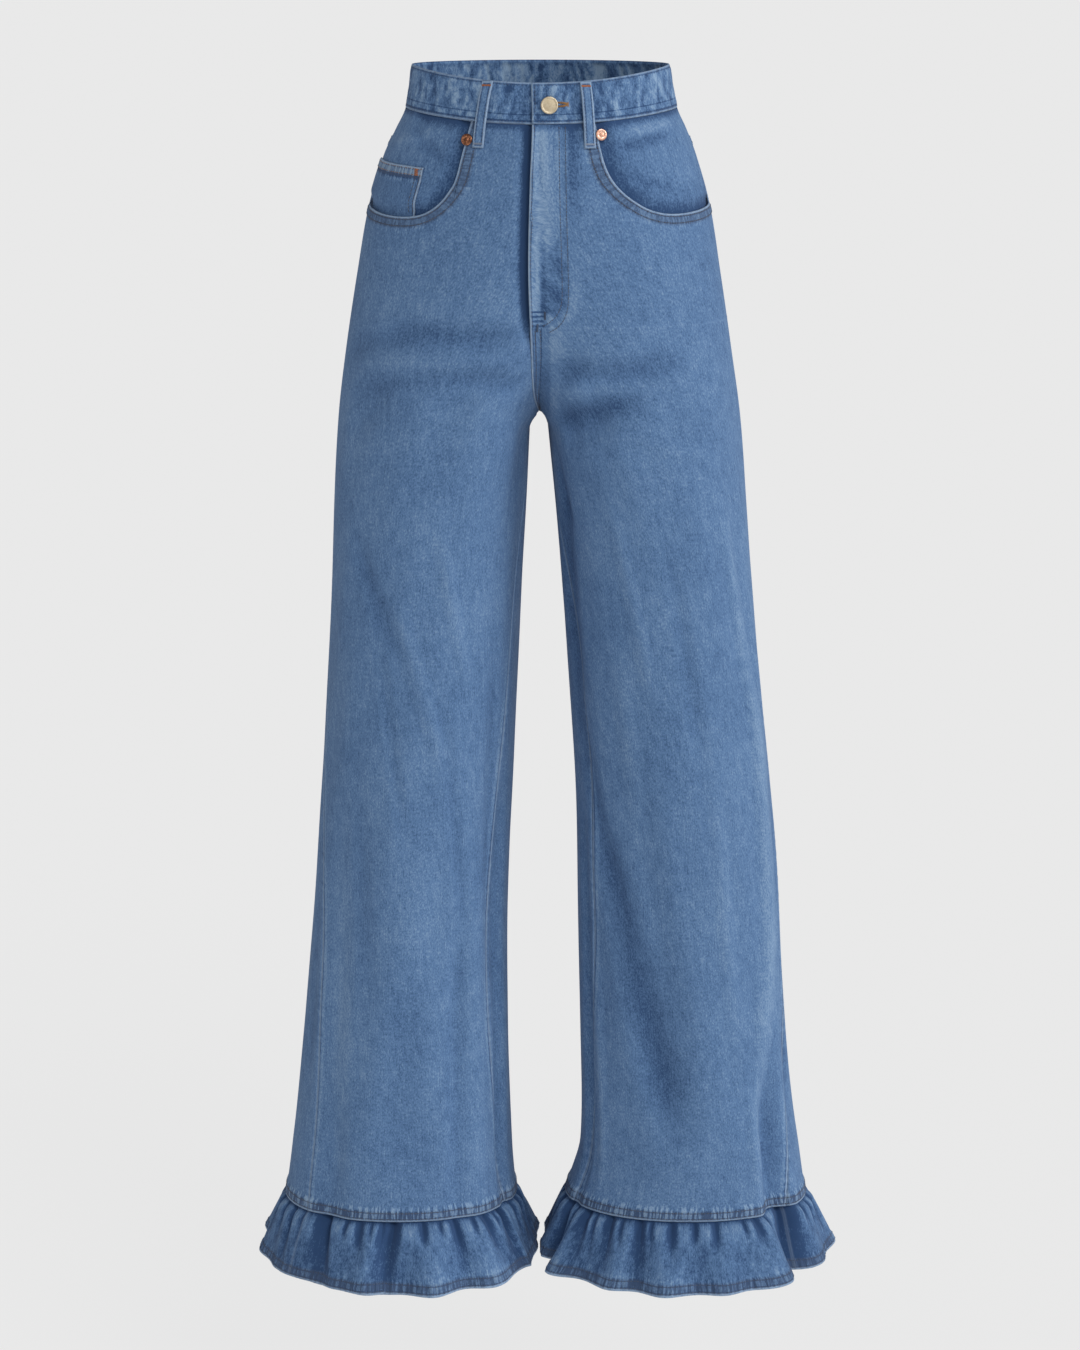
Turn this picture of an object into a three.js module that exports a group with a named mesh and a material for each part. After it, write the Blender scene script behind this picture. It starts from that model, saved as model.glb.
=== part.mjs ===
// High-waisted wide-leg jeans with a gathered ruffle round each hem, filled out as worn, with no wearer.
// Millimetres. +Z is up, the front faces -Y and +X is the viewer's right. The origin is the middle of
// the waist, half way up the waistband. Left and right are the wearer's, so the right leg is at -X.
import * as THREE from "three";

// Cloth: wall of each kind of piece, and the space between neighbouring pieces.
const DENIM = 1.5;
const PATCH = 1.2;
const BAND = 2.6;
const GAP = 0.3;

// Heights on the garment.
const BAND_TOP = 25;
const BAND_SEAM = -13;
const FRONT_DIP = 10;
const TOP_DIPS_MORE = 1.25;
const LOBES_MEET = -75;
const CROTCH = -287;
const LEG_SEAM = -1041;
const RUFFLE_HEM = -1097;

// Half widths and depths from the middle plane, a row for each section of the garment.
const SECTIONS = [
  { z: 25, outerRight: 114, outerLeft: 115, front: 86, back: 88, power: 2.0 },
  { z: -13, outerRight: 120, outerLeft: 122.5, front: 89, back: 92, power: 2.0 },
  { z: -32, outerRight: 129, outerLeft: 131, front: 91, back: 97, power: 2.0 },
  { z: -55, outerRight: 140, outerLeft: 140, front: 93, back: 104, power: 2.0 },
  { z: -100, outerRight: 154, outerLeft: 153, front: 96, back: 116, power: 2.0 },
  { z: -160, outerRight: 165, outerLeft: 163, front: 97, back: 124, power: 2.05 },
  { z: -230, outerRight: 176, outerLeft: 174, front: 96, back: 120, power: 2.1 },
  { z: -287, outerRight: 183, outerLeft: 182, front: 95, back: 108, power: 2.12 },
  { z: -370, outerRight: 189, outerLeft: 189, front: 93, back: 97, power: 2.15 },
  { z: -520, outerRight: 196, outerLeft: 203, front: 90, back: 90, power: 2.15 },
  { z: -674, outerRight: 207, outerLeft: 219, front: 87, back: 86, power: 2.15 },
  { z: -831, outerRight: 220, outerLeft: 230, front: 84, back: 85, power: 2.15 },
  { z: -950, outerRight: 231, outerLeft: 241, front: 84, back: 86, power: 2.15 },
  { z: -1041, outerRight: 244, outerLeft: 255, front: 86, back: 88, power: 2.15 },
];

// Inner edges of the legs.
const INNER_EDGES = [
  { z: -287, innerRight: 8, innerLeft: 6 },
  { z: -332, innerRight: 11, innerLeft: 10 },
  { z: -440, innerRight: 17, innerLeft: 20 },
  { z: -600, innerRight: 24, innerLeft: 32 },
  { z: -752, innerRight: 31, innerLeft: 36 },
  { z: -860, innerRight: 30, innerLeft: 38 },
  { z: -990, innerRight: 27, innerLeft: 38 },
  { z: -1041, innerRight: 23, innerLeft: 25 },
];

// How far each leg's seams are turned round to the front, in degrees.
const SEAM_TURNS = [
  { z: -287, outseamRight: 0, outseamLeft: 0, inseamRight: 0, inseamLeft: 0 },
  { z: -332, outseamRight: 0, outseamLeft: 0, inseamRight: 6, inseamLeft: 6 },
  { z: -440, outseamRight: 2, outseamLeft: 0, inseamRight: 20, inseamLeft: 20 },
  { z: -600, outseamRight: 14, outseamLeft: 0, inseamRight: 30, inseamLeft: 30 },
  { z: -752, outseamRight: 31, outseamLeft: 6, inseamRight: 36, inseamLeft: 33 },
  { z: -860, outseamRight: 35, outseamLeft: 14, inseamRight: 37, inseamLeft: 29 },
  { z: -990, outseamRight: 38, outseamLeft: 28, inseamRight: 27, inseamLeft: 22 },
  { z: -1041, outseamRight: 40, outseamLeft: 33, inseamRight: 22, inseamLeft: 20 },
];
const ARCH_HEIGHT = 12;
const ARCH_FROM = 0.55;
const LEGS_PART_IN = 70;

// The front-most and back-most line of each half, as a share of the way to the middle of its leg.
const RIDGE = [
  { z: LOBES_MEET, share: 0 },
  { z: -140, share: 0.24 },
  { z: -200, share: 0.48 },
  { z: -250, share: 0.66 },
  { z: CROTCH, share: 0.77 },
  { z: -330, share: 0.86 },
  { z: -400, share: 0.95 },
  { z: -480, share: 1 },
];
const CROTCH_BEND = { front: 2.2, back: 1.45 };
const CROTCH_SOFT = 9;

// The fly's edge lies this far to the wearer's right of the middle, down to the crotch.
const FLY_EDGE = [
  { z: 25, x: 8 },
  { z: -25, x: 7 },
  { z: -75, x: 9 },
  { z: -150, x: 10.5 },
  { z: -222, x: 8 },
  { z: -262, x: 6 },
  { z: -287, x: 0.2 },
];
const FLY_END = -190;
const FLY_SHUT = -206;
const FLY_FLUSH = -222;
const FLY_DIVE = 8;

// The scoop of each front pocket, by the angle round from the side and the height.
const SCOOPS = {
  right: [
    { angle: 0, z: -98 },
    { angle: 12, z: -101 },
    { angle: 24.5, z: -104 },
    { angle: 36, z: -105.5 },
    { angle: 45, z: -104.5 },
    { angle: 51, z: -100.5 },
    { angle: 55.5, z: -92 },
    { angle: 58.3, z: -80 },
    { angle: 59.8, z: -66 },
    { angle: 60.5, z: -44 },
    { angle: 61, z: BAND_SEAM },
  ],
  left: [
    { angle: 0, z: -97 },
    { angle: 16, z: -100 },
    { angle: 31.5, z: -102.5 },
    { angle: 43.5, z: -102.5 },
    { angle: 51.5, z: -98.5 },
    { angle: 56.5, z: -92 },
    { angle: 60.5, z: -84 },
    { angle: 63.5, z: -74 },
    { angle: 65.8, z: -62 },
    { angle: 67.2, z: -44 },
    { angle: 67.8, z: BAND_SEAM },
  ],
};
const FACING_BELOW = 14;
const FACING_CLEAR = 1.6;
const FACING_RISE = [6, 26];

// Folds of the standing cloth: a straight line from one angle and height to another, with the half width
// and the height of the fold in mm, where a trough is negative. Angle 0 is the outer side, 90 the front of
// the leg, 180 the inner side and -90 the back.
const FOLDS = [
  { leg: "right", angle: 44, z: -600, toAngle: 57, toZ: -1130, width: 24, rise: -6 },
  { leg: "right", angle: 80, z: -520, toAngle: 84, toZ: -1000, width: 46, rise: 3 },
  { leg: "right", angle: 152, z: -560, toAngle: 156, toZ: -1140, width: 15, rise: -7 },
  { leg: "right", angle: 128, z: -640, toAngle: 134, toZ: -1120, width: 26, rise: 4 },
  { leg: "right", angle: 24, z: -300, toAngle: 58, toZ: -262, width: 22, rise: -3 },
  { leg: "right", angle: 70, z: -282, toAngle: 110, toZ: -240, width: 22, rise: -3 },
  { leg: "right", angle: -60, z: -420, toAngle: -50, toZ: -1130, width: 30, rise: -7 },
  { leg: "right", angle: -105, z: -380, toAngle: -112, toZ: -1130, width: 34, rise: 6 },
  { leg: "right", angle: -80, z: -262, toAngle: -150, toZ: -300, width: 22, rise: -5 },
  { leg: "left", angle: 44, z: -860, toAngle: 40, toZ: -1160, width: 26, rise: -14 },
  { leg: "left", angle: 24, z: -330, toAngle: 26, toZ: -940, width: 26, rise: 4 },
  { leg: "left", angle: 112, z: -560, toAngle: 96, toZ: -1000, width: 30, rise: -4 },
  { leg: "left", angle: 158, z: -600, toAngle: 156, toZ: -1120, width: 14, rise: -5 },
  { leg: "left", angle: 60, z: -238, toAngle: 112, toZ: -262, width: 22, rise: -4 },
  { leg: "left", angle: 82, z: -278, toAngle: 142, toZ: -304, width: 22, rise: -6 },
  { leg: "left", angle: -64, z: -430, toAngle: -56, toZ: -1130, width: 30, rise: -7 },
  { leg: "left", angle: -100, z: -400, toAngle: -108, toZ: -1130, width: 32, rise: 6 },
  { leg: "left", angle: -84, z: -258, toAngle: -150, toZ: -298, width: 22, rise: -5 },
];
const MM_PER_DEGREE = 1.7;
const FOLD_KEEPS_OFF_MIDDLE = 26;

// Rows of points on the panels, from the hip down to the leg seam, and where the top rows lie above them.
const PANEL_ROWS = [
  -132, -160, FLY_END, FLY_SHUT, FLY_FLUSH, -245, -264, -276, -283, CROTCH, -291, -300, -318, -350, -400,
  -470, -560, -650, -740, -830, -910, -980, -1018, -1030, -1031.5, LEG_SEAM,
];
const TOP_ROWS = [0, 0.25, 0.5, 0.75];
const SEAM_ALLOWANCE = 11;
const SEAM_PROUD = 0.7;

// Ruffle: a wave for each row, by its angle round the leg, its spread and its height at the hem.
const RUFFLE_WAVES = {
  right: [
    { angle: 8, spread: 9, height: 8 },
    { angle: 33, spread: 9, height: 5 },
    { angle: 58, spread: 9, height: 7 },
    { angle: 80, spread: 8, height: 14 },
    { angle: 103, spread: 9, height: 19 },
    { angle: 128, spread: 9, height: 17 },
    { angle: 152, spread: 9, height: 12 },
    { angle: 178, spread: 9, height: 4 },
    { angle: -156, spread: 10, height: 12 },
    { angle: -130, spread: 9, height: 19 },
    { angle: -104, spread: 9, height: 14 },
    { angle: -78, spread: 9, height: 21 },
    { angle: -50, spread: 9, height: 15 },
    { angle: -22, spread: 9, height: 14 },
  ],
  left: [
    { angle: -2, spread: 9, height: 12 },
    { angle: 23, spread: 9, height: 6 },
    { angle: 58, spread: 8, height: 12 },
    { angle: 78, spread: 8, height: 12 },
    { angle: 99, spread: 9, height: 17 },
    { angle: 121, spread: 9, height: 15 },
    { angle: 145, spread: 9, height: 24 },
    { angle: 170, spread: 9, height: 12 },
    { angle: -160, spread: 10, height: 10 },
    { angle: -134, spread: 9, height: 20 },
    { angle: -108, spread: 9, height: 14 },
    { angle: -82, spread: 9, height: 21 },
    { angle: -55, spread: 9, height: 13 },
    { angle: -29, spread: 9, height: 16 },
  ],
};
const RUFFLE_FLARE = { front: 30, side: 16, back: 32 };
const RUFFLE_TUCK = 8;
const RUFFLE_UNDER = 2.7;
const RUFFLE_COLUMNS = 112;
const RUFFLE_ROWS = [0, 0.14, 0.3, 0.62, 1];
const GATHERS = 28;
const GATHER_DEPTH = 2.4;
const RUFFLE_CLEAR_OF_MIDDLE = 0.8;
const WAVE_DROPS = 0.12;

// Belt loops, by where their top and bottom lie on the waist.
const LOOP_WIDTH = 10;
const LOOP_THICK = 1.8;
const LOOP_STANDS_OFF = 2.6;
const LOOP_BOTTOM = -35;
const LOOPS = [
  { name: "belt_loop_front_right", side: "right", half: "front", topX: -45, bottomX: -54 },
  { name: "belt_loop_front_left", side: "left", half: "front", topX: 39, bottomX: 43.5 },
  { name: "belt_loop_back_right", side: "right", half: "back", topX: -74, bottomX: -79 },
  { name: "belt_loop_back_left", side: "left", half: "back", topX: 74, bottomX: 79 },
  { name: "belt_loop_back_middle", side: "left", half: "back", topX: 0.5, bottomX: 0.5 },
];

// Metal: the shank button of the waistband and the rivets at the pocket corners.
const BUTTON = { x: 8, z: -7, radius: 7.6, thick: 3.2, shank: 3 };
const RIVETS = [
  { name: "rivet_right", side: "right", x: -63.5, z: -37 },
  { name: "rivet_left", side: "left", x: 53, z: -32.5 },
];
const RIVET = { radius: 5.2, thick: 2 };

// Back pockets, by the angle of their middle at the back and their size.
const BACK_POCKET = { angle: 64, width: 120, height: 132, point: 18, top: -92 };
const COIN_POCKET = { topSide: -58, topInner: -64 };
const YOKE = { side: -46, middle: -84 };

const radians = THREE.MathUtils.degToRad;
const lerp = THREE.MathUtils.lerp;
const smoothstep = THREE.MathUtils.smoothstep;

// A smooth curve through one column of a table whose rows are sorted by z, from the top down.
function curve(rows, column, key = "z") {
  const x = rows.map((row) => row[key]);
  const y = rows.map((row) => row[column]);
  const last = rows.length - 1;
  const slope = (i) => {
    const a = Math.max(i - 1, 0);
    const b = Math.min(i + 1, last);
    return (y[b] - y[a]) / (x[b] - x[a]);
  };
  const sign = Math.sign(x[last] - x[0]);
  return (at) => {
    if ((at - x[0]) * sign <= 0) return y[0];
    if ((at - x[last]) * sign >= 0) return y[last];
    let i = 0;
    while ((at - x[i + 1]) * sign > 0) i += 1;
    const span = x[i + 1] - x[i];
    const t = (at - x[i]) / span;
    const rise = y[i + 1] - y[i];
    const m0 = slope(i) * span;
    const m1 = slope(i + 1) * span;
    return y[i] + t * (m0 + t * (3 * rise - 2 * m0 - m1 + t * (m0 + m1 - 2 * rise)));
  };
}

const SIDES = { right: -1, left: 1 };
const other = (side) => (side === "right" ? "left" : "right");
const column = (name, side) => name + (side === "right" ? "Right" : "Left");
const forBoth = (make) => ({ right: make("right"), left: make("left") });

const frontDepth = curve(SECTIONS, "front");
const backDepth = curve(SECTIONS, "back");
const roundness = curve(SECTIONS, "power");
const outerEdge = forBoth((side) => curve(SECTIONS, column("outer", side)));
const innerEdge = forBoth((side) => curve(INNER_EDGES, column("inner", side)));
const outseamTurn = forBoth((side) => curve(SEAM_TURNS, column("outseam", side)));
const inseamTurn = forBoth((side) => curve(SEAM_TURNS, column("inseam", side)));
const flyEdge = curve(FLY_EDGE, "x");
const ridgeShare = curve(RIDGE, "share");

// A rise that starts level and then goes on straight.
const softStart = (rise) => rise ** 2 / (rise + CROTCH_SOFT);

// The oval of one half at height z: a leg below the crotch, and above it a lobe cut at the middle plane.
// The lobes of the front meet lower down than those of the back.
function lobe(side, z, half = "front") {
  const outer = outerEdge[side](z);
  const shared = { front: frontDepth(z), back: backDepth(z), bend: 2 / roundness(z), arch: 0 };
  if (z < CROTCH) {
    const apart = innerEdge[side](z);
    const inner = Math.max(GAP / 2, apart * smoothstep(CROTCH - z, 0, LEGS_PART_IN));
    const arch = apart * Math.sqrt(Math.min(1, (CROTCH - z) / ARCH_HEIGHT)) - inner;
    const middle = (ridgeShare(z) * (outer + inner)) / 2;
    return { ...shared, middle, out: outer - middle, in: middle - inner, arch: Math.max(0, arch) };
  }
  const middle = (ridgeShare(z) * outer) / 2;
  const share = (1 - softStart(z - CROTCH) / softStart(LOBES_MEET - CROTCH)) ** CROTCH_BEND[half];
  if (z >= LOBES_MEET) return { ...shared, middle: 0, out: outer, in: outer };
  return { ...shared, middle, out: outer - middle, in: middle / share - GAP / 2 };
}

// The angle at which a lobe above the crotch meets the middle plane.
function middleAngle(oval) {
  return Math.PI - Math.acos(Math.min(1, oval.middle / oval.in) ** (1 / oval.bend));
}

const halfOf = (angle) => (angle < 0 ? "back" : "front");

function wrapDegrees(angle) {
  return ((((angle + 180) % 360) + 360) % 360) - 180;
}

// How far a fold moves the cloth out at an angle in degrees and a height.
function foldRise(side, angle, z) {
  let sum = 0;
  for (const fold of FOLDS) {
    if (fold.leg !== side) continue;
    const run = (fold.toAngle - fold.angle) * MM_PER_DEGREE;
    const drop = fold.toZ - fold.z;
    const across = wrapDegrees(angle - fold.angle) * MM_PER_DEGREE;
    const down = z - fold.z;
    const along = (across * run + down * drop) / (run * run + drop * drop);
    const off = Math.abs(across * drop - down * run) / Math.hypot(run, drop);
    if (along <= 0 || along >= 1 || off >= fold.width) continue;
    const fade = smoothstep(along, 0, 0.35) * smoothstep(1 - along, 0, 0.3);
    sum += (fold.rise * fade * (1 + Math.cos((Math.PI * off) / fold.width))) / 2;
  }
  return sum;
}

// A point of the outer cloth at an angle round one half. Past the middle plane it goes on round the other.
function onCloth(side, angle, z) {
  let from = side;
  let at = angle;
  if (z >= CROTCH) {
    const end = middleAngle(lobe(side, z, halfOf(angle)));
    if (Math.abs(angle) > end) {
      from = other(side);
      at = Math.sign(angle) * (2 * end - Math.abs(angle));
    }
  }
  const oval = lobe(from, z, halfOf(at));
  const c = Math.cos(at);
  const s = Math.sin(at);
  let x = oval.middle + (c > 0 ? oval.out : -oval.in) * Math.abs(c) ** oval.bend;
  x += oval.arch * smoothstep(-c, ARCH_FROM, 1);
  let y = (s > 0 ? -oval.front : oval.back) * Math.abs(s) ** oval.bend;
  const long = Math.hypot(x - oval.middle, y);
  const keep = z < CROTCH ? 1 : smoothstep(x, 0, FOLD_KEEPS_OFF_MIDDLE);
  const seam = SEAM_PROUD * smoothstep(LEG_SEAM + SEAM_ALLOWANCE + 1 - z, 0, 1);
  const rise = keep * foldRise(from, THREE.MathUtils.radToDeg(at), z) + seam;
  x += (rise * (x - oval.middle)) / long;
  y += (rise * y) / long;
  return new THREE.Vector3(SIDES[from] * x, y, z);
}

// The angle, in one half's own count, at which the front or the back crosses a world x near the middle.
function angleAtX(side, z, x, half = "front") {
  const end = middleAngle(lobe(side, z, half));
  const ownSide = x * SIDES[side] >= 0;
  const oval = lobe(ownSide ? side : other(side), z, half);
  const reach = Math.abs(x) - oval.middle;
  const part = Math.min(1, reach > 0 ? reach / oval.out : -reach / oval.in);
  const at = Math.acos(Math.sign(reach) * part ** (1 / oval.bend));
  return ownSide ? at : 2 * end - at;
}

// The millimetres of cloth to a radian, at an angle and a height.
function pace(side, angle, z) {
  return onCloth(side, angle + 0.01, z).distanceTo(onCloth(side, angle - 0.01, z)) / 0.02;
}

// The angle of the outseam, and those at which the front and the back end at the inseam or middle seam.
function outseam(side, z) {
  return radians(z < CROTCH ? outseamTurn[side](z) : 0);
}

function frontEnd(side, z) {
  if (z < CROTCH) return inseam(side, z);
  const edge = flyEdge(z) + (side === "right" ? GAP / 2 : -GAP / 2);
  return Math.min(angleAtX(side, z, -edge), inseam(side, CROTCH));
}

function inseam(side, z) {
  const angle = Math.PI - radians(inseamTurn[side](z));
  return angle - (0.7 * GAP) / pace(side, angle, z);
}

function backEnd(side, z) {
  if (z < CROTCH) {
    const angle = -Math.PI - radians(inseamTurn[side](z));
    return angle + (0.7 * GAP) / pace(side, angle, z);
  }
  return -Math.min(angleAtX(side, z, (SIDES[side] * GAP) / 2, "back"), Math.PI);
}

// The cloth's normal at a point, facing out.
function clothNormal(side, angle, z) {
  const rise = z > CROTCH && z < CROTCH + 1 ? CROTCH + 1 : z;
  const top = Math.abs(z - CROTCH) < 1 ? z : z + 1;
  const across = onCloth(side, angle + 0.01, rise).sub(onCloth(side, angle - 0.01, rise));
  const up = onCloth(side, angle, top).sub(onCloth(side, angle, z - 1));
  return outward(across.cross(up).normalize(), onCloth(side, angle, z));
}

// A vector's own sense or its opposite, whichever leads away from the middle of the leg or lobe at a point.
function outward(normal, point) {
  const side = point.x < 0 ? "right" : "left";
  const away = point.clone().sub(new THREE.Vector3(SIDES[side] * lobe(side, point.z).middle, 0, point.z));
  return normal.dot(away) < 0 ? normal.negate() : normal;
}

// A closed wall between two grids of points, outer and inner, with the same rows and columns.
function wall(outer, inner, ring = false) {
  const rows = outer.length;
  const columns = outer[0].length;
  const points = [...outer.flat(), ...inner.flat()];
  const index = [];
  const at = (layer, row, col) => layer * rows * columns + row * columns + (col % columns);
  const quad = (a, b, c, d) => index.push(a, b, c, a, c, d);
  const lastColumn = ring ? columns : columns - 1;
  for (let row = 0; row + 1 < rows; row += 1) {
    for (let col = 0; col < lastColumn; col += 1) {
      quad(at(0, row, col), at(0, row + 1, col), at(0, row + 1, col + 1), at(0, row, col + 1));
      quad(at(1, row, col), at(1, row, col + 1), at(1, row + 1, col + 1), at(1, row + 1, col));
    }
  }
  for (let col = 0; col < lastColumn; col += 1) {
    quad(at(0, 0, col), at(0, 0, col + 1), at(1, 0, col + 1), at(1, 0, col));
    quad(at(0, rows - 1, col), at(1, rows - 1, col), at(1, rows - 1, col + 1), at(0, rows - 1, col + 1));
  }
  if (!ring) {
    for (let row = 0; row + 1 < rows; row += 1) {
      const end = columns - 1;
      quad(at(0, row, 0), at(1, row, 0), at(1, row + 1, 0), at(0, row + 1, 0));
      quad(at(0, row, end), at(0, row + 1, end), at(1, row + 1, end), at(1, row, end));
    }
  }
  return facingOut(points, index);
}

// A geometry from points and triangles, turned round if its volume comes out negative.
function facingOut(points, index) {
  let volume = 0;
  for (let i = 0; i < index.length; i += 3) {
    const [a, b, c] = [points[index[i]], points[index[i + 1]], points[index[i + 2]]];
    volume += a.dot(new THREE.Vector3().crossVectors(b, c));
  }
  if (volume < 0) {
    for (let i = 0; i < index.length; i += 3) {
      [index[i + 1], index[i + 2]] = [index[i + 2], index[i + 1]];
    }
  }
  const geometry = new THREE.BufferGeometry().setFromPoints(points);
  geometry.setIndex(index);
  geometry.computeVertexNormals();
  return geometry;
}

// A wall on the cloth of one half: grid holds the angle and height of each point, and lift says how far out
// of the cloth its outer face lies there.
function wallOn(side, grid, thickness, lift = () => 0) {
  const outer = [];
  const inner = [];
  for (const row of grid) {
    const out = [];
    const back = [];
    for (const { angle, z } of row) {
      const point = onCloth(side, angle, z);
      const normal = clothNormal(side, angle, z);
      const rise = lift(angle, z, point);
      out.push(point.clone().addScaledVector(normal, rise));
      back.push(point.clone().addScaledVector(normal, rise - thickness));
    }
    outer.push(out);
    inner.push(back);
  }
  return wall(outer, inner);
}

const denim = new THREE.MeshStandardMaterial({ color: 0x5c7fa8, roughness: 0.9, metalness: 0 });
const brass = new THREE.MeshStandardMaterial({ color: 0xb9a27a, roughness: 0.35, metalness: 1 });
const copper = new THREE.MeshStandardMaterial({ color: 0xc98a6a, roughness: 0.35, metalness: 1 });

const jeans = new THREE.Group();
jeans.name = "jeans";

function add(name, geometry, material = denim) {
  const mesh = new THREE.Mesh(geometry, material);
  mesh.name = name;
  jeans.add(mesh);
  return mesh;
}

// How far the waist dips at an angle, towards the middle of the front.
function dip(angle) {
  return FRONT_DIP * Math.sin(THREE.MathUtils.clamp(angle, 0, Math.PI / 2)) ** 2;
}

function waistSeam(angle) {
  return BAND_SEAM - dip(angle) - GAP;
}

const scoopHeight = forBoth((side) => curve(SCOOPS[side], "z", "angle"));
const scoopCorner = forBoth((side) => SCOOPS[side][SCOOPS[side].length - 1].angle);

// The top of the front panel: the scoop from the side to its corner, and then the waist seam.
function frontTop(side, angle) {
  const degrees = THREE.MathUtils.radToDeg(angle);
  const seam = waistSeam(angle);
  return degrees >= scoopCorner[side] ? seam : Math.min(seam, scoopHeight[side](degrees));
}

// Columns of the front: the angles of its scoop, then shares of the way to the edge. Below the hip they
// spread evenly.
const FLAT_COLUMNS = [0.12, 0.27, 0.42, 0.57, 0.72, 0.86, 1];
const SPREAD_BELOW = [-300, -132];
const FLY_OVERLAP_COLUMNS = [-8, -1, 5, 14];
const FLY_FLUSH_COLUMNS = [-8, -5, -2.5, 0];

function frontAngle(side, z, i) {
  const end = frontEnd(side, z);
  const scoop = SCOOPS[side];
  const last = scoop.length + FLAT_COLUMNS.length - 1;
  const stop = side === "right" ? end - FLY_DIVE / pace(side, end - 0.02, z) : end;
  const low = lerp(outseam(side, z) + GAP / 2 / pace(side, 0, z), stop, i / last);
  if (z < SPREAD_BELOW[0]) return low;
  const corner = radians(scoopCorner[side]);
  const high =
    i < scoop.length
      ? Math.max(radians(scoop[i].angle), GAP / 2 / pace(side, 0, z))
      : lerp(corner, stop, FLAT_COLUMNS[i - scoop.length]);
  return lerp(low, high, smoothstep(z, ...SPREAD_BELOW));
}

function frontRow(side, z, heightAt) {
  const count = SCOOPS[side].length + FLAT_COLUMNS.length;
  const row = Array.from({ length: count }, (_, i) => {
    const angle = frontAngle(side, z, i);
    return { angle, z: heightAt ? heightAt(angle) : z };
  });
  if (side === "left") return row;
  const edge = frontEnd(side, z);
  FLY_FLUSH_COLUMNS.slice(1).forEach((flush, i) => {
    const offset = lerp(flush, FLY_OVERLAP_COLUMNS[i + 1], smoothstep(z, FLY_SHUT, FLY_END));
    const angle = edge + offset / pace(side, edge - 0.02, z);
    row.push({ angle, z: heightAt ? heightAt(angle) : z });
  });
  return row;
}

function frontPanel(side) {
  const hip = PANEL_ROWS[0];
  const heightAt = (t) => (angle) => lerp(frontTop(side, angle), hip, t);
  const grid = TOP_ROWS.map((t) => frontRow(side, hip, heightAt(t)));
  for (const line of grid) {
    line.forEach((spot, i) => {
      spot.angle = frontRow(side, spot.z)[i].angle;
    });
  }
  for (const z of PANEL_ROWS) grid.push(frontRow(side, z));
  return wallOn(side, grid, DENIM, side === "right" ? flyDive : undefined);
}

// The right front goes in under the fly of the left front.
function flyDive(angle, z, point) {
  const past = point.x + flyEdge(z) + FLY_DIVE;
  return -(DENIM + 4 * GAP) * smoothstep(past, 0, FLY_DIVE - 1) * smoothstep(z, FLY_FLUSH, FLY_SHUT);
}

const BACK_STEPS = 16;

function backAngle(side, z, share) {
  const start = outseam(side, z) - GAP / 2 / pace(side, 0, z);
  return lerp(start, backEnd(side, z), share);
}

function backRow(side, heightAt) {
  return Array.from({ length: BACK_STEPS + 1 }, (_, i) => {
    const z = heightAt(i / BACK_STEPS);
    return { angle: backAngle(side, z, i / BACK_STEPS), z };
  });
}

const yokeSeam = (share) => lerp(YOKE.side, YOKE.middle, share);

function backPanel(side) {
  const hip = PANEL_ROWS[0];
  const grid = TOP_ROWS.map((t) => backRow(side, (share) => lerp(yokeSeam(share) - GAP, hip, t)));
  for (const z of PANEL_ROWS) grid.push(backRow(side, () => z));
  return wallOn(side, grid, DENIM);
}

function yoke(side) {
  const grid = [0, 0.33, 0.67, 1].map((t) =>
    backRow(side, (share) => lerp(BAND_SEAM - GAP, yokeSeam(share), t)),
  );
  return wallOn(side, grid, DENIM);
}

// How many mm a point of the pocket facing lies inside the scoop's opening: negative under the front panel.
function insideScoop(side, angle, z) {
  let near = Infinity;
  const scoop = SCOOPS[side];
  for (let i = 0; i + 1 < scoop.length; i += 1) {
    const [p, q] = [scoop[i], scoop[i + 1]];
    const run = (q.angle - p.angle) * MM_PER_DEGREE;
    const rise = q.z - p.z;
    const across = (angle - p.angle) * MM_PER_DEGREE;
    const t = THREE.MathUtils.clamp((across * run + (z - p.z) * rise) / (run * run + rise * rise), 0, 1);
    near = Math.min(near, Math.hypot(across - t * run, z - p.z - t * rise));
  }
  const inside = angle < scoopCorner[side] && z > scoopHeight[side](angle);
  return inside ? near : -near;
}

// The facing fills the scoop, goes under its edge, and leaves room for the coin pocket on the right.
function facingLift(side) {
  const room = DENIM + FACING_CLEAR + (side === "right" ? PATCH + GAP : 0);
  const degrees = THREE.MathUtils.radToDeg;
  return (angle, z) => -room * (1 - smoothstep(insideScoop(side, degrees(angle), z), ...FACING_RISE));
}

// Columns are shares of the way to the scoop's corner. Rows run from the waist to the coin pocket's top,
// and from there to the hidden lower edge.
const FACING_COLUMNS = [0.003, 0.13, 0.26, 0.4, 0.53, 0.63, 0.73, 0.83, 0.91, 0.96, 1.02, 1.13];
const COIN_COLUMNS = 7;
const COIN_ROW = 2;

function facingGrid(side) {
  const corner = scoopCorner[side];
  const line = (heightAt) =>
    FACING_COLUMNS.map((share) => ({ angle: radians(share * corner), z: heightAt(share) }));
  const seam = (share) => waistSeam(radians(share * corner));
  const low = (share) => scoopHeight[side](Math.min(share, 0.83) * corner) - FACING_BELOW;
  const coinTop = (share) => lerp(COIN_POCKET.topSide, COIN_POCKET.topInner, share);
  const middle = (share) => Math.max(coinTop(share), (low(share) + BAND_SEAM) / 2);
  return [
    line(seam),
    line((share) => (seam(share) + middle(share)) / 2),
    ...[0, 0.33, 0.67, 1].map((t) => line((share) => lerp(middle(share), low(share), t))),
  ];
}

function pocketFacing(side) {
  return wallOn(side, facingGrid(side), PATCH, facingLift(side));
}

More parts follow.
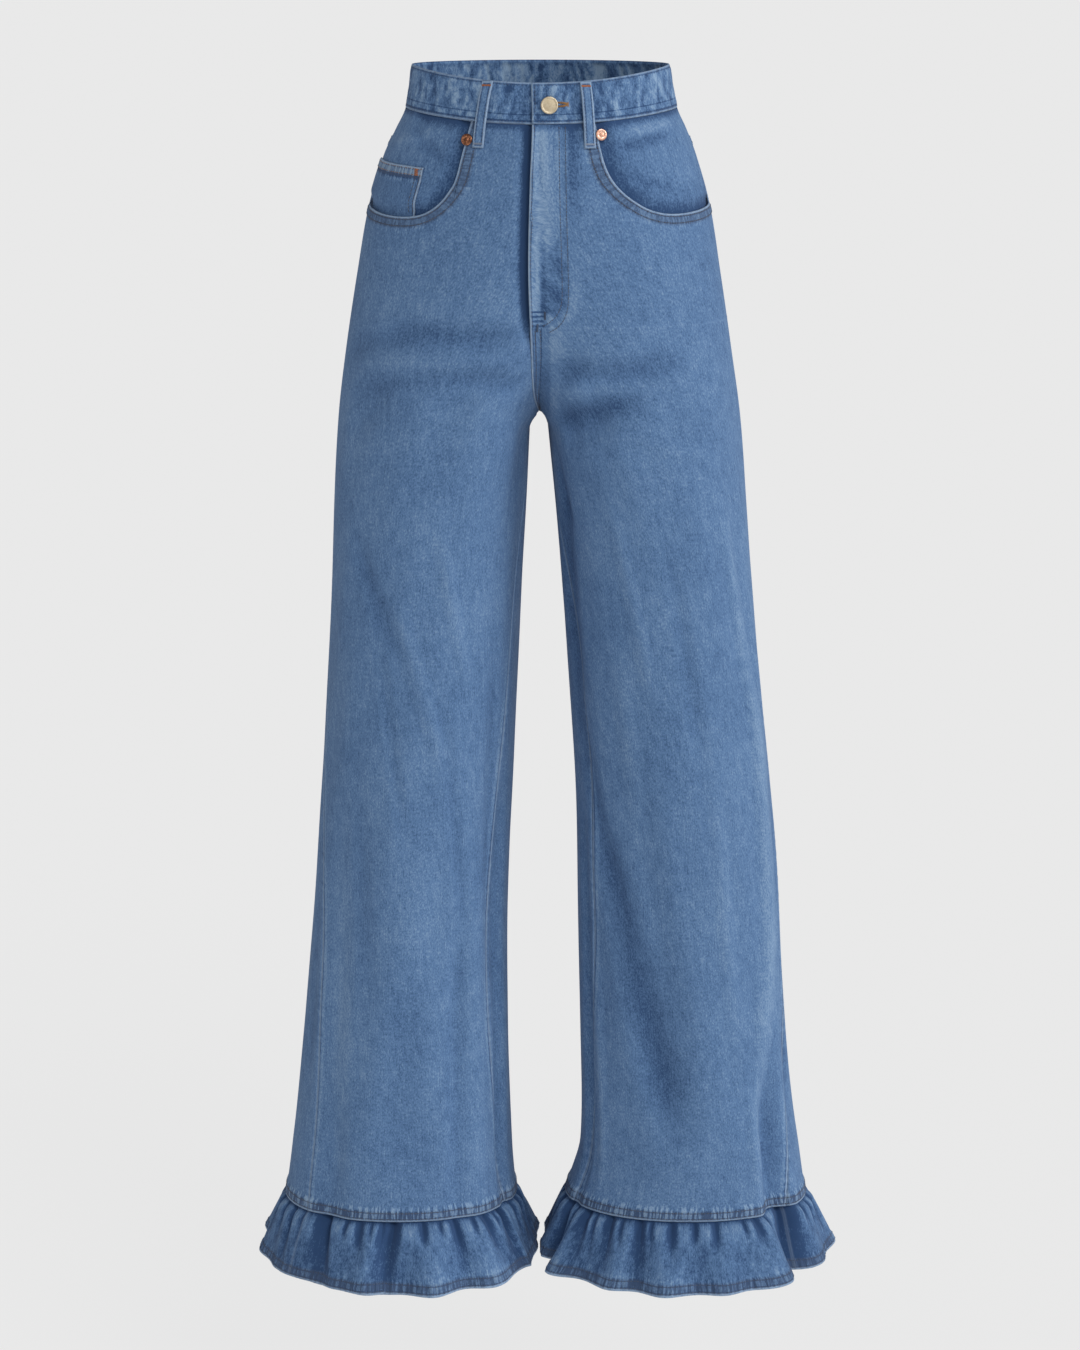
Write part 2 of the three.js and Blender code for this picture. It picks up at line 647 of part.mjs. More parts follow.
function coinPocket() {
  const grid = facingGrid("right").slice(COIN_ROW).map((row) => row.slice(0, COIN_COLUMNS));
  const lift = facingLift("right");
  return wallOn("right", grid, PATCH, (angle, z) => lift(angle, z) + PATCH + GAP);
}

// A patch with a pointed bottom, laid on the back panel.
function backPocket(side) {
  const centre = radians(-BACK_POCKET.angle);
  const half = BACK_POCKET.width / 2;
  const grid = [];
  for (let row = 0; row <= 6; row += 1) {
    const line = [];
    for (let col = -4; col <= 4; col += 1) {
      const share = Math.abs(col) / 4;
      const bottom = BACK_POCKET.top - BACK_POCKET.height + BACK_POCKET.point * share;
      const z = lerp(BACK_POCKET.top, bottom, row / 6);
      const reach = half * (1 - (0.1 * row) / 6);
      line.push({ angle: centre - ((col / 4) * reach) / pace(side, centre, z), z });
    }
    grid.push(line);
  }
  return wallOn(side, grid, PATCH, () => PATCH + 2 * GAP);
}

// The waistband's whole way round: from its outer end at the fly, by the left side and the back, to the
// right front, where its other end goes in under the first.
const BAND_PROUD = 0.6;
const BAND_UNDERLAP = 26;
const BAND_DIVE = 26;
const BAND_STEPS = 20;
const BAND_ROWS = [0, 1];

function bandStations() {
  const stations = [];
  const sweep = (side, from, to, skipFirst) => {
    for (let i = skipFirst ? 1 : 0; i <= BAND_STEPS; i += 1) {
      stations.push({ side, from, to, t: i / BAND_STEPS });
    }
  };
  sweep("left", (z) => angleAtX("left", z, -flyEdge(z)), () => 0, false);
  sweep("left", () => 0, () => -Math.PI / 2, true);
  sweep("right", () => -Math.PI / 2, () => 0, true);
  sweep("right", () => 0, (z) => angleAtX("right", z, BAND_UNDERLAP), true);
  return stations;
}

function bandPoint(station, v) {
  const level = lerp(BAND_TOP, BAND_SEAM, v);
  const angle = lerp(station.from(level), station.to(level), station.t);
  const z = level - dip(angle) * lerp(TOP_DIPS_MORE, 1, v);
  return onCloth(station.side, lerp(station.from(z), station.to(z), station.t), z);
}

function waistband() {
  const stations = bandStations();
  const last = stations.length - 1;
  const outer = [];
  const inner = [];
  for (const v of BAND_ROWS) {
    const line = stations.map((station) => bandPoint(station, v));
    const above = stations.map((station) => bandPoint(station, v - 0.02));
    const out = [];
    const back = [];
    line.forEach((point, i) => {
      const along = line[Math.min(i + 1, last)].clone().sub(line[Math.max(i - 1, 0)]);
      const normal = outward(along.cross(above[i].clone().sub(point)).normalize(), point);
      const onRightFront = i > 3 * BAND_STEPS;
      const past = point.x + flyEdge(point.z) + BAND_DIVE;
      const dive = onRightFront ? (BAND + GAP) * smoothstep(past, 0, BAND_DIVE - 2) : 0;
      out.push(point.clone().addScaledVector(normal, BAND_PROUD - dive));
      back.push(point.clone().addScaledVector(normal, BAND_PROUD - dive - BAND));
    });
    outer.push(out);
    inner.push(back);
  }
  return wall(outer, inner);
}

// A strap that lies over the waistband, stands off it a little and is tacked down at both ends.
function beltLoop({ side, half, topX, bottomX }) {
  const sense = half === "front" ? 1 : -1;
  const low = half === "front" ? dip(Math.acos(Math.abs(topX) / outerEdge[side](BAND_TOP))) : 0;
  const top = BAND_TOP - low * TOP_DIPS_MORE - 1;
  const profile = [
    { t: 0, off: 0 },
    { t: 0.05, off: 0 },
    { t: 0.2, off: LOOP_STANDS_OFF },
    { t: 0.6, off: LOOP_STANDS_OFF },
    { t: 0.82, off: LOOP_STANDS_OFF * 0.4 },
    { t: 0.93, off: -BAND_PROUD },
    { t: 1, off: -BAND_PROUD },
  ];
  const outer = [];
  const inner = [];
  const clothAt = (x, z) => {
    const own = x * SIDES[side] >= 0 ? side : other(side);
    const angle = sense * Math.acos(Math.min(1, Math.abs(x) / outerEdge[own](z)));
    return onCloth(own, angle, z);
  };
  for (const { t, off } of profile) {
    const z = lerp(top, LOOP_BOTTOM - low, t);
    const x = lerp(topX, bottomX, t);
    const spread = LOOP_WIDTH / 2;
    const tangent = clothAt(x + 2, z).sub(clothAt(x - 2, z)).normalize();
    const middle = clothAt(x, z);
    const normal = outward(tangent.clone().cross(new THREE.Vector3(0, 0, 1)).normalize(), middle);
    const base = BAND_PROUD + GAP + off;
    const bow = LOOP_WIDTH ** 2 / 8 / 90;
    const place = (sideways, out) =>
      middle.clone().addScaledVector(tangent, sideways).addScaledVector(normal, out);
    const across = (out) => [place(-spread, out), place(0, out + bow), place(spread, out)];
    outer.push(across(base + LOOP_THICK));
    inner.push(across(base));
  }
  return wall(outer, inner);
}

// A round head on a shank, turned about its own axis and then set square on the cloth.
function metalHead({ radius, thick, shank }) {
  const profile = [
    [0, 0],
    [shank, 0],
    [shank, thick * 0.35],
    [radius * 0.94, thick * 0.35],
    [radius, thick * 0.55],
    [radius * 0.96, thick * 0.82],
    [radius * 0.7, thick * 0.97],
    [0, thick],
  ].map(([r, h]) => new THREE.Vector2(r, h));
  return new THREE.LatheGeometry(profile, 20);
}

function setOnCloth(mesh, side, x, z, lift) {
  const angle = angleAtX(side, z, x);
  const normal = clothNormal(side, angle, z);
  mesh.position.copy(onCloth(side, angle, z).addScaledVector(normal, lift));
  mesh.quaternion.setFromUnitVectors(new THREE.Vector3(0, 1, 0), normal);
}

// The ruffle: a ring whose top is tucked under the leg's edge and whose hem flares and waves.
function gatherRise(angle, share) {
  const drift = 3 * Math.sin(radians(angle * 3)) + 2 * Math.sin(radians(angle * 7 + 40));
  const fade = smoothstep(share, RUFFLE_ROWS[1], RUFFLE_ROWS[2]) * (1 - smoothstep(share, 0.3, 0.9));
  return GATHER_DEPTH * fade * Math.cos(radians(GATHERS * (angle + drift / 4)));
}

function waveRise(side, angle) {
  let sum = 0;
  for (const wave of RUFFLE_WAVES[side]) {
    sum += wave.height * Math.exp(-((wrapDegrees(angle - wave.angle) / wave.spread) ** 2));
  }
  return sum;
}

function ruffleFlare(angle) {
  const s = Math.sin(radians(angle));
  const depth = s > 0 ? RUFFLE_FLARE.front : RUFFLE_FLARE.back;
  return lerp(RUFFLE_FLARE.side, depth, s * s);
}

// The leg's own flat facets at the seam, which the ruffle's tucked edge follows.
function seamPoint(side, angle, z) {
  const fronts = frontRow(side, z).map((spot) => spot.angle);
  const backs = backRow(side, () => z).map((spot) => spot.angle);
  const turns = [...backs.reverse(), ...fronts];
  turns.push(turns[0] + 2 * Math.PI);
  let at = angle;
  while (at < turns[0]) at += 2 * Math.PI;
  while (at > turns[turns.length - 1]) at -= 2 * Math.PI;
  const i = turns.findIndex((turn, n) => at >= turn && at <= turns[n + 1]);
  const t = (at - turns[i]) / (turns[i + 1] - turns[i]);
  return onCloth(side, turns[i], z).lerp(onCloth(side, turns[i + 1], z), t);
}

function rufflePoint(side, angle, share) {
  const at = radians(angle);
  const level = lerp(LEG_SEAM + RUFFLE_TUCK, RUFFLE_HEM, share);
  const top = seamPoint(side, at, Math.max(level, LEG_SEAM));
  const along = onCloth(side, at + 0.02, LEG_SEAM).sub(onCloth(side, at - 0.02, LEG_SEAM));
  const normal = outward(new THREE.Vector3(along.y, -along.x, 0).normalize(), top);
  const below = smoothstep(share, RUFFLE_ROWS[1], RUFFLE_ROWS[2]);
  const open = Math.max(0, share - RUFFLE_ROWS[1]) / (1 - RUFFLE_ROWS[1]);
  const wave = waveRise(side, angle) * open ** 1.1;
  const flare = ruffleFlare(angle) * open ** 0.85;
  const point = top.addScaledVector(
    normal,
    flare + wave + gatherRise(angle, share) - RUFFLE_UNDER * (1 - below),
  );
  point.z = level + WAVE_DROPS * (wave - 10 * open);
  point.x = SIDES[side] * Math.max(point.x * SIDES[side], RUFFLE_CLEAR_OF_MIDDLE);
  return point;
}

function ruffle(side) {
  const outer = [];
  const inner = [];
  for (const share of RUFFLE_ROWS) {
    const out = [];
    const back = [];
    for (let i = 0; i < RUFFLE_COLUMNS; i += 1) {
      const angle = (360 * i) / RUFFLE_COLUMNS - 180;
      const point = rufflePoint(side, angle, share);
      const along = rufflePoint(side, angle + 0.7, share).sub(rufflePoint(side, angle - 0.7, share));
      const high = rufflePoint(side, angle, Math.max(0, share - 0.03));
      const low = rufflePoint(side, angle, Math.min(1, share + 0.03));
      const normal = outward(along.cross(high.sub(low)).normalize(), point);
      out.push(point);
      back.push(point.clone().addScaledVector(normal, -DENIM));
    }
    outer.push(out);
    inner.push(back);
  }
  return wall(outer, inner, true);
}

for (const side of ["right", "left"]) {
  add(`front_panel_${side}`, frontPanel(side));
  add(`back_panel_${side}`, backPanel(side));
  add(`back_yoke_${side}`, yoke(side));
  add(`pocket_facing_${side}`, pocketFacing(side));
  add(`back_pocket_${side}`, backPocket(side));
  add(`hem_ruffle_${side}`, ruffle(side));
}
add("coin_pocket", coinPocket());
add("waistband", waistband());
for (const loop of LOOPS) add(loop.name, beltLoop(loop));
const button = add("waist_button", metalHead(BUTTON), brass);
setOnCloth(button, "left", BUTTON.x, BUTTON.z, BAND_PROUD + GAP);
for (const { name, side, x, z } of RIVETS) {
  const rivet = add(name, metalHead({ ...RIVET, shank: RIVET.radius * 0.6 }), copper);
  setOnCloth(rivet, side, x, z, GAP);
}

export default jeans;
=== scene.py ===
import math

import bpy
import numpy as np
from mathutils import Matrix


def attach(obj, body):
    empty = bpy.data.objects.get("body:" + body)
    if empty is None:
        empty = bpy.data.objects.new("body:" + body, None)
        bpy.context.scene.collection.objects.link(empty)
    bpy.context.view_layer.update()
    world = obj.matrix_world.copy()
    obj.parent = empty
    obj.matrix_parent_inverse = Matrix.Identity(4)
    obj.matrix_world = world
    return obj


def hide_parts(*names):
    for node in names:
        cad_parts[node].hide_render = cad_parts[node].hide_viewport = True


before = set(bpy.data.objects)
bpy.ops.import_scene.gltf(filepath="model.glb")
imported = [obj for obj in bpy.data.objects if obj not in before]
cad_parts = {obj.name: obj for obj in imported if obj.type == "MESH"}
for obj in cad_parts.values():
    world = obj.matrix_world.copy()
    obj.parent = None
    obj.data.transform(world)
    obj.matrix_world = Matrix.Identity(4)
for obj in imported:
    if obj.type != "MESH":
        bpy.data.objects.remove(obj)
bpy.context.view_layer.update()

# The garment's own sizes, as in its solids.
GAP = 0.3
SEAT_OPEN = 0.02
DENIM = 1.4
PATCH = 1.1
BAND = 2.4
BAND_TOP = 25
BAND_SEAM = -13
FRONT_DIP = 10
TOP_DIPS_MORE = 1.25
LOBES_MEET = -75
CROTCH = -287
LEG_SEAM = -1041
RUFFLE_HEM = -1097
SECTIONS = {
    "z": [25, -13, -32, -55, -100, -160, -230, -287, -370, -520, -674, -831, -950, -1041],
    "outer_right": [114, 120, 129, 140, 154, 165, 176, 183, 189, 196, 207, 220, 231, 244],
    "outer_left": [115, 122.5, 131, 140, 153, 163, 174, 182, 189, 203, 219, 230, 241, 255],
    "front": [86, 89, 91, 93, 96, 97, 96, 95, 93, 90, 87, 84, 84, 86],
    "back": [88, 92, 97, 104, 116, 124, 120, 108, 97, 90, 86, 85, 86, 88],
    "power": [2, 2, 2, 2, 2, 2.05, 2.1, 2.12, 2.15, 2.15, 2.15, 2.15, 2.15, 2.15],
}
LEG = {
    "z": [-287, -332, -440, -600, -752, -860, -990, -1041],
    "inner_right": [8, 11, 17, 24, 31, 30, 27, 23],
    "inner_left": [6, 10, 20, 32, 36, 38, 38, 25],
    "outseam_right": [0, 0, 2, 14, 31, 35, 38, 40],
    "outseam_left": [0, 0, 0, 0, 6, 14, 28, 33],
    "inseam_right": [0, 6, 20, 30, 36, 37, 27, 22],
    "inseam_left": [0, 6, 20, 30, 33, 29, 22, 20],
}
ARCH_HEIGHT = 12
ARCH_FROM = 0.55
LEGS_PART_IN = 70
RIDGE = {
    "z": [LOBES_MEET, -140, -200, -250, CROTCH, -330, -400, -480],
    "share": [0, 0.24, 0.48, 0.66, 0.77, 0.86, 0.95, 1],
}
CROTCH_BEND = {"front": 2.2, "back": 1.45}
CROTCH_SOFT = 9
FLY_EDGE = {"z": [25, -25, -75, -150, -222, -262, -287], "x": [8, 7, 9, 10.5, 8, 6, 0.2]}
FLY_END = -190
FLY_SHUT = -206
FLY_FLUSH = -222
FLY_DIVE = 8
SCOOPS = {
    "right": {
        "angle": [0, 12, 24.5, 36, 45, 51, 55.5, 58.3, 59.8, 60.5, 61],
        "z": [-98, -101, -104, -105.5, -104.5, -100.5, -92, -80, -66, -44, BAND_SEAM],
    },
    "left": {
        "angle": [0, 16, 31.5, 43.5, 51.5, 56.5, 60.5, 63.5, 65.8, 67.2, 67.8],
        "z": [-97, -100, -102.5, -102.5, -98.5, -92, -84, -74, -62, -44, BAND_SEAM],
    },
}
HIP = -132
YOKE = {"side": -46, "middle": -84}
BACK_POCKET = {"angle": 64, "width": 120, "height": 132, "point": 18, "top": -92}
COIN_TOP = {"side": -58, "inner": -64}
COIN_SHARE = 0.73
FACING_BELOW = 14
FACING_CLEAR = 1.6

# Creases: from an angle and height to another, half width and rise in mm. A trough is negative.
CREASES = {
    "right": [
        (44, -600, 57, -1130, 24, -6), (80, -520, 84, -1000, 46, 3), (152, -560, 156, -1140, 15, -7),
        (128, -640, 134, -1120, 26, 4), (24, -300, 58, -262, 22, -3), (70, -282, 110, -240, 22, -3),
        (-60, -420, -50, -1130, 30, -7), (-105, -380, -112, -1130, 34, 6), (-80, -262, -150, -300, 22, -5),
    ],
    "left": [
        (44, -860, 40, -1160, 26, -14), (24, -330, 26, -940, 26, 4), (112, -560, 96, -1000, 30, -4),
        (158, -600, 156, -1120, 14, -5), (60, -238, 112, -262, 22, -4), (82, -278, 142, -304, 22, -6),
        (-64, -430, -56, -1130, 30, -7), (-100, -400, -108, -1130, 32, 6), (-84, -258, -150, -298, 22, -5),
    ],
}
FINE_CREASES = {
    "right": [
        (8, -234, 66, -199, 16, -1.8), (38, -206, 106, -211, 19, -3.7), (22, -268, 62, -246, 16, -2.6),
        (48, -254, 92, -243, 14, -1.8), (74, -240, 124, -254, 15, -2.4), (24, -236, 96, -226, 13, 1.5),
        (38, -372, 84, -520, 16, -2.6), (70, -420, 108, -620, 12, 1.5), (88, -350, 124, -560, 12, 1.4),
        (60, -440, 90, -700, 10, -1.2), (52, -560, 74, -860, 16, -1.5), (100, -520, 128, -800, 12, -1.3),
        (44, -620, 58, -1036, 24, 3), (88, -760, 92, -1020, 30, -1.8), (22, -640, 26, -980, 14, -1.4),
        (120, -700, 118, -1090, 14, -1.6), (136, -420, 146, -900, 13, -2), (30, -320, 84, -296, 14, 1.2),
        (-40, -250, -110, -282, 12, -2.4), (-56, -292, -128, -322, 14, -2.6), (-70, -232, -140, -262, 10, -1.8),
        (-82, -560, -78, -1020, 18, -2.2), (-128, -480, -136, -980, 18, -2.4), (-30, -520, -26, -980, 18, 2),
    ],
    "left": [
        (138, -252, 90, -230, 16, -4.2), (112, -244, 48, -230, 18, -2.8), (156, -292, 70, -264, 17, -5.4),
        (50, -250, 110, -256, 11, 1.6), (128, -262, 96, -254, 9, 1.4),
        (152, -300, 160, -600, 24, -4.4), (160, -292, 146, -400, 15, -2.6), (162, -520, 128, -760, 22, -3.4), (136, -640, 98, -960, 27, -5),
        (104, -850, 92, -1000, 26, -2), (118, -480, 112, -700, 16, 1.6), (46, -340, 31, -620, 13, 3),
        (32, -500, 35, -880, 16, 3.6), (33, -740, 58, -1060, 18, 3.6), (16, -560, 20, -1040, 12, -3),
        (112, -330, 98, -560, 12, 1.4), (84, -360, 74, -620, 13, -1.4), (70, -560, 62, -900, 13, 1.4),
        (146, -760, 140, -1060, 11, 2), (34, -322, 90, -300, 14, 1.2), (62, -300, 120, -316, 12, -1.4),
        (-44, -252, -112, -284, 12, -2.4), (-58, -294, -130, -324, 14, -2.6), (-72, -234, -138, -262, 10, -1.8),
        (-80, -540, -76, -1040, 18, -2.2), (-126, -500, -134, -960, 18, -2.4), (-28, -540, -30, -960, 18, 2),
    ],
}
MM_PER_DEGREE = 1.7
FLAT = 1.8

# Ruffle waves: angle round the leg, spread in degrees, height in mm at the hem.
WAVES = {
    "right": [
        (8, 9, 8), (33, 9, 5), (58, 9, 7), (80, 8, 14), (103, 9, 19), (128, 9, 17), (152, 9, 12), (178, 9, 4),
        (-156, 10, 12), (-130, 9, 19), (-104, 9, 14), (-78, 9, 21), (-50, 9, 15), (-22, 9, 14),
    ],
    "left": [
        (-2, 9, 12), (23, 9, 6), (58, 8, 12), (78, 8, 12), (99, 9, 17), (121, 9, 15), (145, 9, 24), (170, 9, 12),
        (-160, 10, 10), (-134, 9, 20), (-108, 9, 14), (-82, 9, 21), (-55, 9, 13), (-29, 9, 16),
    ],
}
FLARE = {"front": 30, "side": 16, "back": 32}
RUFFLE_TUCK = 8
RUFFLE_CUT = 68
PUFF = 2.6

# Gathers of the ruffles seen from the front: angle at the seam, angle at the hem, half width in degrees, rise in
# mm and the share of the height where it has died out.
GATHERS = {
    "right": [
        (-6, -4, 4, -4, 0.7), (6, 9, 4, -5, 1.1), (17, 22, 3.5, -4, 0.8), (27, 33, 4, -6, 1.3), (37, 42, 3, -3, 0.6),
        (52, 60, 8, -13, 1.5), (66, 67, 2.2, -5, 0.45), (73, 75, 3.6, -6, 0.7), (79, 78, 2, -3, 0.4),
        (84, 82, 2.4, -5, 0.6), (90, 84, 6.5, -13, 1.5), (101, 100, 3.4, -6, 0.5), (109, 110, 2.2, -4, 0.4),
        (116, 119, 4.4, -7, 0.9), (126, 129, 2.4, -4, 0.5), (133, 138, 4.4, -7, 1), (141, 142, 2.4, -3.5, 0.5),
        (150, 148, 6, -12, 1.5), (162, 161, 3, -4, 0.9), (171, 171, 4, -5, 1.1),
    ],
    "left": [
        (-8, -8, 4, -4, 0.8), (4, 2, 4, -5, 1.2), (13, 13, 3, -6, 0.7), (22, 21, 3, -4, 0.6), (35, 37, 9, -14, 1.6),
        (51, 50, 2.6, -4, 0.45), (59, 58, 3.6, -6, 0.6), (66, 64, 2.2, -4, 0.4), (79, 80, 3.4, -5, 0.6),
        (88, 88, 2.4, -6, 0.5), (97, 97, 3.6, -7, 0.8), (106, 105, 2.4, -4, 0.6), (112, 109, 4.6, -9, 1.2),
        (121, 118, 2.4, -4, 0.6), (128, 124, 4.6, -9, 1.2), (137, 133, 2.6, -4, 0.9), (144, 139, 5, -10, 1.4),
        (154, 150, 3, -5, 1.2), (163, 159, 5, -9, 1.4), (174, 173, 4, -5, 1),
    ],
}
SIGN = {"right": -1, "left": 1}


def smooth(x, low, high):
    t = np.clip((x - low) / (high - low), 0, 1)
    return t * t * (3 - 2 * t)


def lerp(a, b, t):
    return a + (b - a) * t


def curve(x, y):
    """A smooth curve through a short table, with the same slopes as the solids use."""
    x, y = np.array(x, float), np.array(y, float)
    if x[0] > x[-1]:
        x, y = x[::-1], y[::-1]
    slope = np.empty_like(y)
    slope[1:-1] = (y[2:] - y[:-2]) / (x[2:] - x[:-2])
    slope[0], slope[-1] = (y[1] - y[0]) / (x[1] - x[0]), (y[-1] - y[-2]) / (x[-1] - x[-2])

    def at(v):
        v = np.clip(v, x[0], x[-1])
        i = np.clip(np.searchsorted(x, v, side="right") - 1, 0, len(x) - 2)
        span = x[i + 1] - x[i]
        t, rise = (v - x[i]) / span, y[i + 1] - y[i]
        m0, m1 = slope[i] * span, slope[i + 1] * span
        return y[i] + t * (m0 + t * (3 * rise - 2 * m0 - m1 + t * (m0 + m1 - 2 * rise)))

    return at


front_depth = curve(SECTIONS["z"], SECTIONS["front"])
back_depth = curve(SECTIONS["z"], SECTIONS["back"])
roundness = curve(SECTIONS["z"], SECTIONS["power"])
ridge_share = curve(RIDGE["z"], RIDGE["share"])
fly_edge = curve(FLY_EDGE["z"], FLY_EDGE["x"])
outer_edge = {s: curve(SECTIONS["z"], SECTIONS["outer_" + s]) for s in SIGN}
inner_edge = {s: curve(LEG["z"], LEG["inner_" + s]) for s in SIGN}
outseam_turn = {s: curve(LEG["z"], LEG["outseam_" + s]) for s in SIGN}
inseam_turn = {s: curve(LEG["z"], LEG["inseam_" + s]) for s in SIGN}
scoop_height = {s: curve(SCOOPS[s]["angle"], SCOOPS[s]["z"]) for s in SIGN}
other = {"right": "left", "left": "right"}


def soft(rise):
    return rise**2 / (rise + CROTCH_SOFT)


def lobe(side, z, front):
    """The oval of one half: (middle, out, in, arch, depth, bend)."""
    outer, ridge = outer_edge[side](z), ridge_share(z)
    below, whole = z < CROTCH, z >= LOBES_MEET
    apart = inner_edge[side](z)
    inner = np.maximum(GAP / 2, apart * smooth(CROTCH - z, 0, LEGS_PART_IN))
    arch = apart * np.sqrt(np.clip((CROTCH - z) / ARCH_HEIGHT, 0, 1)) - inner
    arch = np.where(below, np.maximum(arch, 0), 0)
    middle = np.where(below, ridge * (outer + inner) / 2, np.where(whole, 0, ridge * outer / 2))
    level = np.clip(z, CROTCH, LOBES_MEET - 0.01) - CROTCH
    power = np.where(front, CROTCH_BEND["front"], CROTCH_BEND["back"])
    share = np.clip(1 - soft(level) / soft(LOBES_MEET - CROTCH), 1e-6, 1) ** power
    inward = np.where(below, middle - inner, np.where(whole, outer, middle / share - GAP / 2))
    depth = np.where(front, front_depth(z), back_depth(z))
    return middle, outer - middle, inward, arch, depth, 2 / roundness(z)


def middle_angle(side, z, front):
    middle, _, inward, _, _, bend = lobe(side, z, front)
    return np.pi - np.arccos(np.minimum(1, middle / inward) ** (1 / bend))


def folds(rows, angle, z):
    """How far a table of creases moves the cloth out."""
    total = np.zeros_like(angle)
    for start, top, end, low, width, rise in rows:
        run, drop = (end - start) * MM_PER_DEGREE, low - top
        across = ((angle - start + 180) % 360 - 180) * MM_PER_DEGREE
        down = z - top
        along = (across * run + down * drop) / (run * run + drop * drop)
        off = np.abs(across * drop - down * run) / math.hypot(run, drop)
        fade = smooth(along, 0, 0.35) * smooth(1 - along, 0, 0.3) * (along < 1)
        total += rise * fade * np.where(off < width, (1 + np.cos(np.pi * off / width)) / 2, 0)
    return total


def uneven(x, step, seed):
    """A smooth chance line from -1 to 1, with a knot every step mm."""
    knots = np.random.default_rng(seed).uniform(-1, 1, 512)
    at = np.asarray(x, float) / step
    i = np.floor(at).astype(int)
    return lerp(knots[i % 512], knots[(i + 1) % 512], smooth(at - i, 0, 1))


def drift(side, angle, z):
    """Slow uneven undulation of worn denim, longer down the leg than round it."""
    k = 1.3 if side == "left" else 0
    turn = np.radians(angle)
    a = np.sin(6 * turn + z * 0.006 + k) * np.sin(z * 0.013 + turn + 1.1 + k)
    b = np.sin(13 * turn - z * 0.009 + 2.1 + k) * np.sin(z * 0.021 - 3 * turn + k)
    return (0.9 * a + 0.45 * b) * smooth(-z, 110, 300) * smooth(z - LEG_SEAM, 4, 60)


def own_half(side, angle, z):
    """The half, as a mask, and the angle on it, of a point that may lie past the middle plane."""
    end = middle_angle(side, z, angle >= 0)
    crossed = (z >= CROTCH) & (np.abs(angle) > end)
    return crossed, np.where(crossed, np.sign(angle) * (2 * end - np.abs(angle)), angle)


def surface(side, angle, z, fine=True):
    """Points of the outer cloth at angles in radians and heights in mm."""
    angle, z = np.broadcast_arrays(np.asarray(angle, float), np.asarray(z, float))
    crossed, at = own_half(side, angle, z)
    result = None
    for name, mask in ((side, ~crossed), (other[side], crossed)):
        middle, out, inward, arch, depth, bend = lobe(name, z, at >= 0)
        c, s = np.cos(at), np.sin(at)
        x = middle + np.where(c > 0, out, -inward) * np.abs(c) ** bend + arch * smooth(-c, ARCH_FROM, 1)
        y = np.where(s > 0, -1, 1) * depth * np.abs(s) ** bend
        long = np.maximum(np.hypot(x - middle, y), 1e-6)
        keep = np.where(z < CROTCH, 1, smooth(x, 0, 26))
        degrees = np.degrees(at)
        rise = folds(CREASES[name], degrees, z)
        if fine:
            rise = rise + folds(FINE_CREASES[name], degrees, z) + drift(name, degrees, z)
        rise = keep * rise + 0.7 * smooth(LEG_SEAM + 12 - z, 0, 1)
        x, y = x + rise * (x - middle) / long, y + rise * y / long
        points = np.stack([SIGN[name] * x, y, z + 0 * x], -1)
        result = points if result is None else np.where(mask[..., None], points, result)
    return result


def normal(side, angle, z, points=None):
    """The cloth's unit normals, facing out."""
    low = np.where((z >= CROTCH) & (z < CROTCH + 1), CROTCH, z - 1)
    high = np.where((z < CROTCH) & (z > CROTCH - 1), CROTCH - 0.01, z + 1)
    across = surface(side, angle + 0.01, z) - surface(side, angle - 0.01, z)
    n = np.cross(across, surface(side, angle, high) - surface(side, angle, low))
    n /= np.maximum(np.linalg.norm(n, axis=-1, keepdims=True), 1e-9)
    points = surface(side, angle, z) if points is None else points
    middle = lobe(side, z, angle >= 0)[0] * np.where(points[..., 0] < 0, -1, 1)
    away = points - np.stack([middle, 0 * middle, z + 0 * middle], -1)
    return np.where((n * away).sum(-1, keepdims=True) < 0, -n, n)


def angle_at_x(side, z, x, front=True):
    """The angle at which the front or back of one half crosses a world x near the middle."""
    z, x = np.broadcast_arrays(np.asarray(z, float), np.asarray(x, float))
    end = middle_angle(side, z, front)
    own = x * SIGN[side] >= 0
    result = None
    for name, mask in ((side, own), (other[side], ~own)):
        middle, out, inward, _, _, bend = lobe(name, z, front)
        reach = np.abs(x) - middle
        part = np.minimum(1, np.where(reach > 0, reach / out, -reach / inward))
        at = np.arccos(np.sign(reach) * part ** (1 / bend))
        at = at if name == side else 2 * end - at
        result = at if result is None else np.where(mask, at, result)
    return result


def pace(side, angle, z):
    step = surface(side, angle + 0.01, z, False) - surface(side, angle - 0.01, z, False)
    return np.linalg.norm(step, axis=-1) / 0.02


def outseam(side, z):
    return np.where(z < CROTCH, np.radians(outseam_turn[side](z)), 0)


def inseam(side, z):
    angle = np.pi - np.radians(inseam_turn[side](z))
    return angle - 0.7 * GAP / pace(side, angle, z)


def front_end(side, z):
    edge = fly_edge(z) + (GAP / 2 if side == "right" else -GAP / 2)
    upper = np.minimum(angle_at_x(side, np.maximum(z, CROTCH), -edge), inseam(side, np.float64(CROTCH)))
    return np.where(z < CROTCH, inseam(side, z), upper)


def back_end(side, z):
    angle = -np.pi - np.radians(inseam_turn[side](z))
    leg = angle + 0.7 * GAP / pace(side, angle, z)
    upper = -np.minimum(angle_at_x(side, np.maximum(z, CROTCH), SIGN[side] * SEAT_OPEN / 2, False), np.pi)
    return np.where(z < CROTCH, leg, upper)


def dip(angle):
    return FRONT_DIP * np.sin(np.clip(angle, 0, np.pi / 2)) ** 2


def waist_seam(angle):
    return BAND_SEAM - dip(angle) - GAP


def front_top(side, angle):
    seam = waist_seam(angle)
    degrees = np.degrees(angle)
    scoop = np.minimum(seam, scoop_height[side](degrees))
    return np.where(degrees >= SCOOPS[side]["angle"][-1], seam, scoop)


# Meshes.
materials = {}
pieces = {}


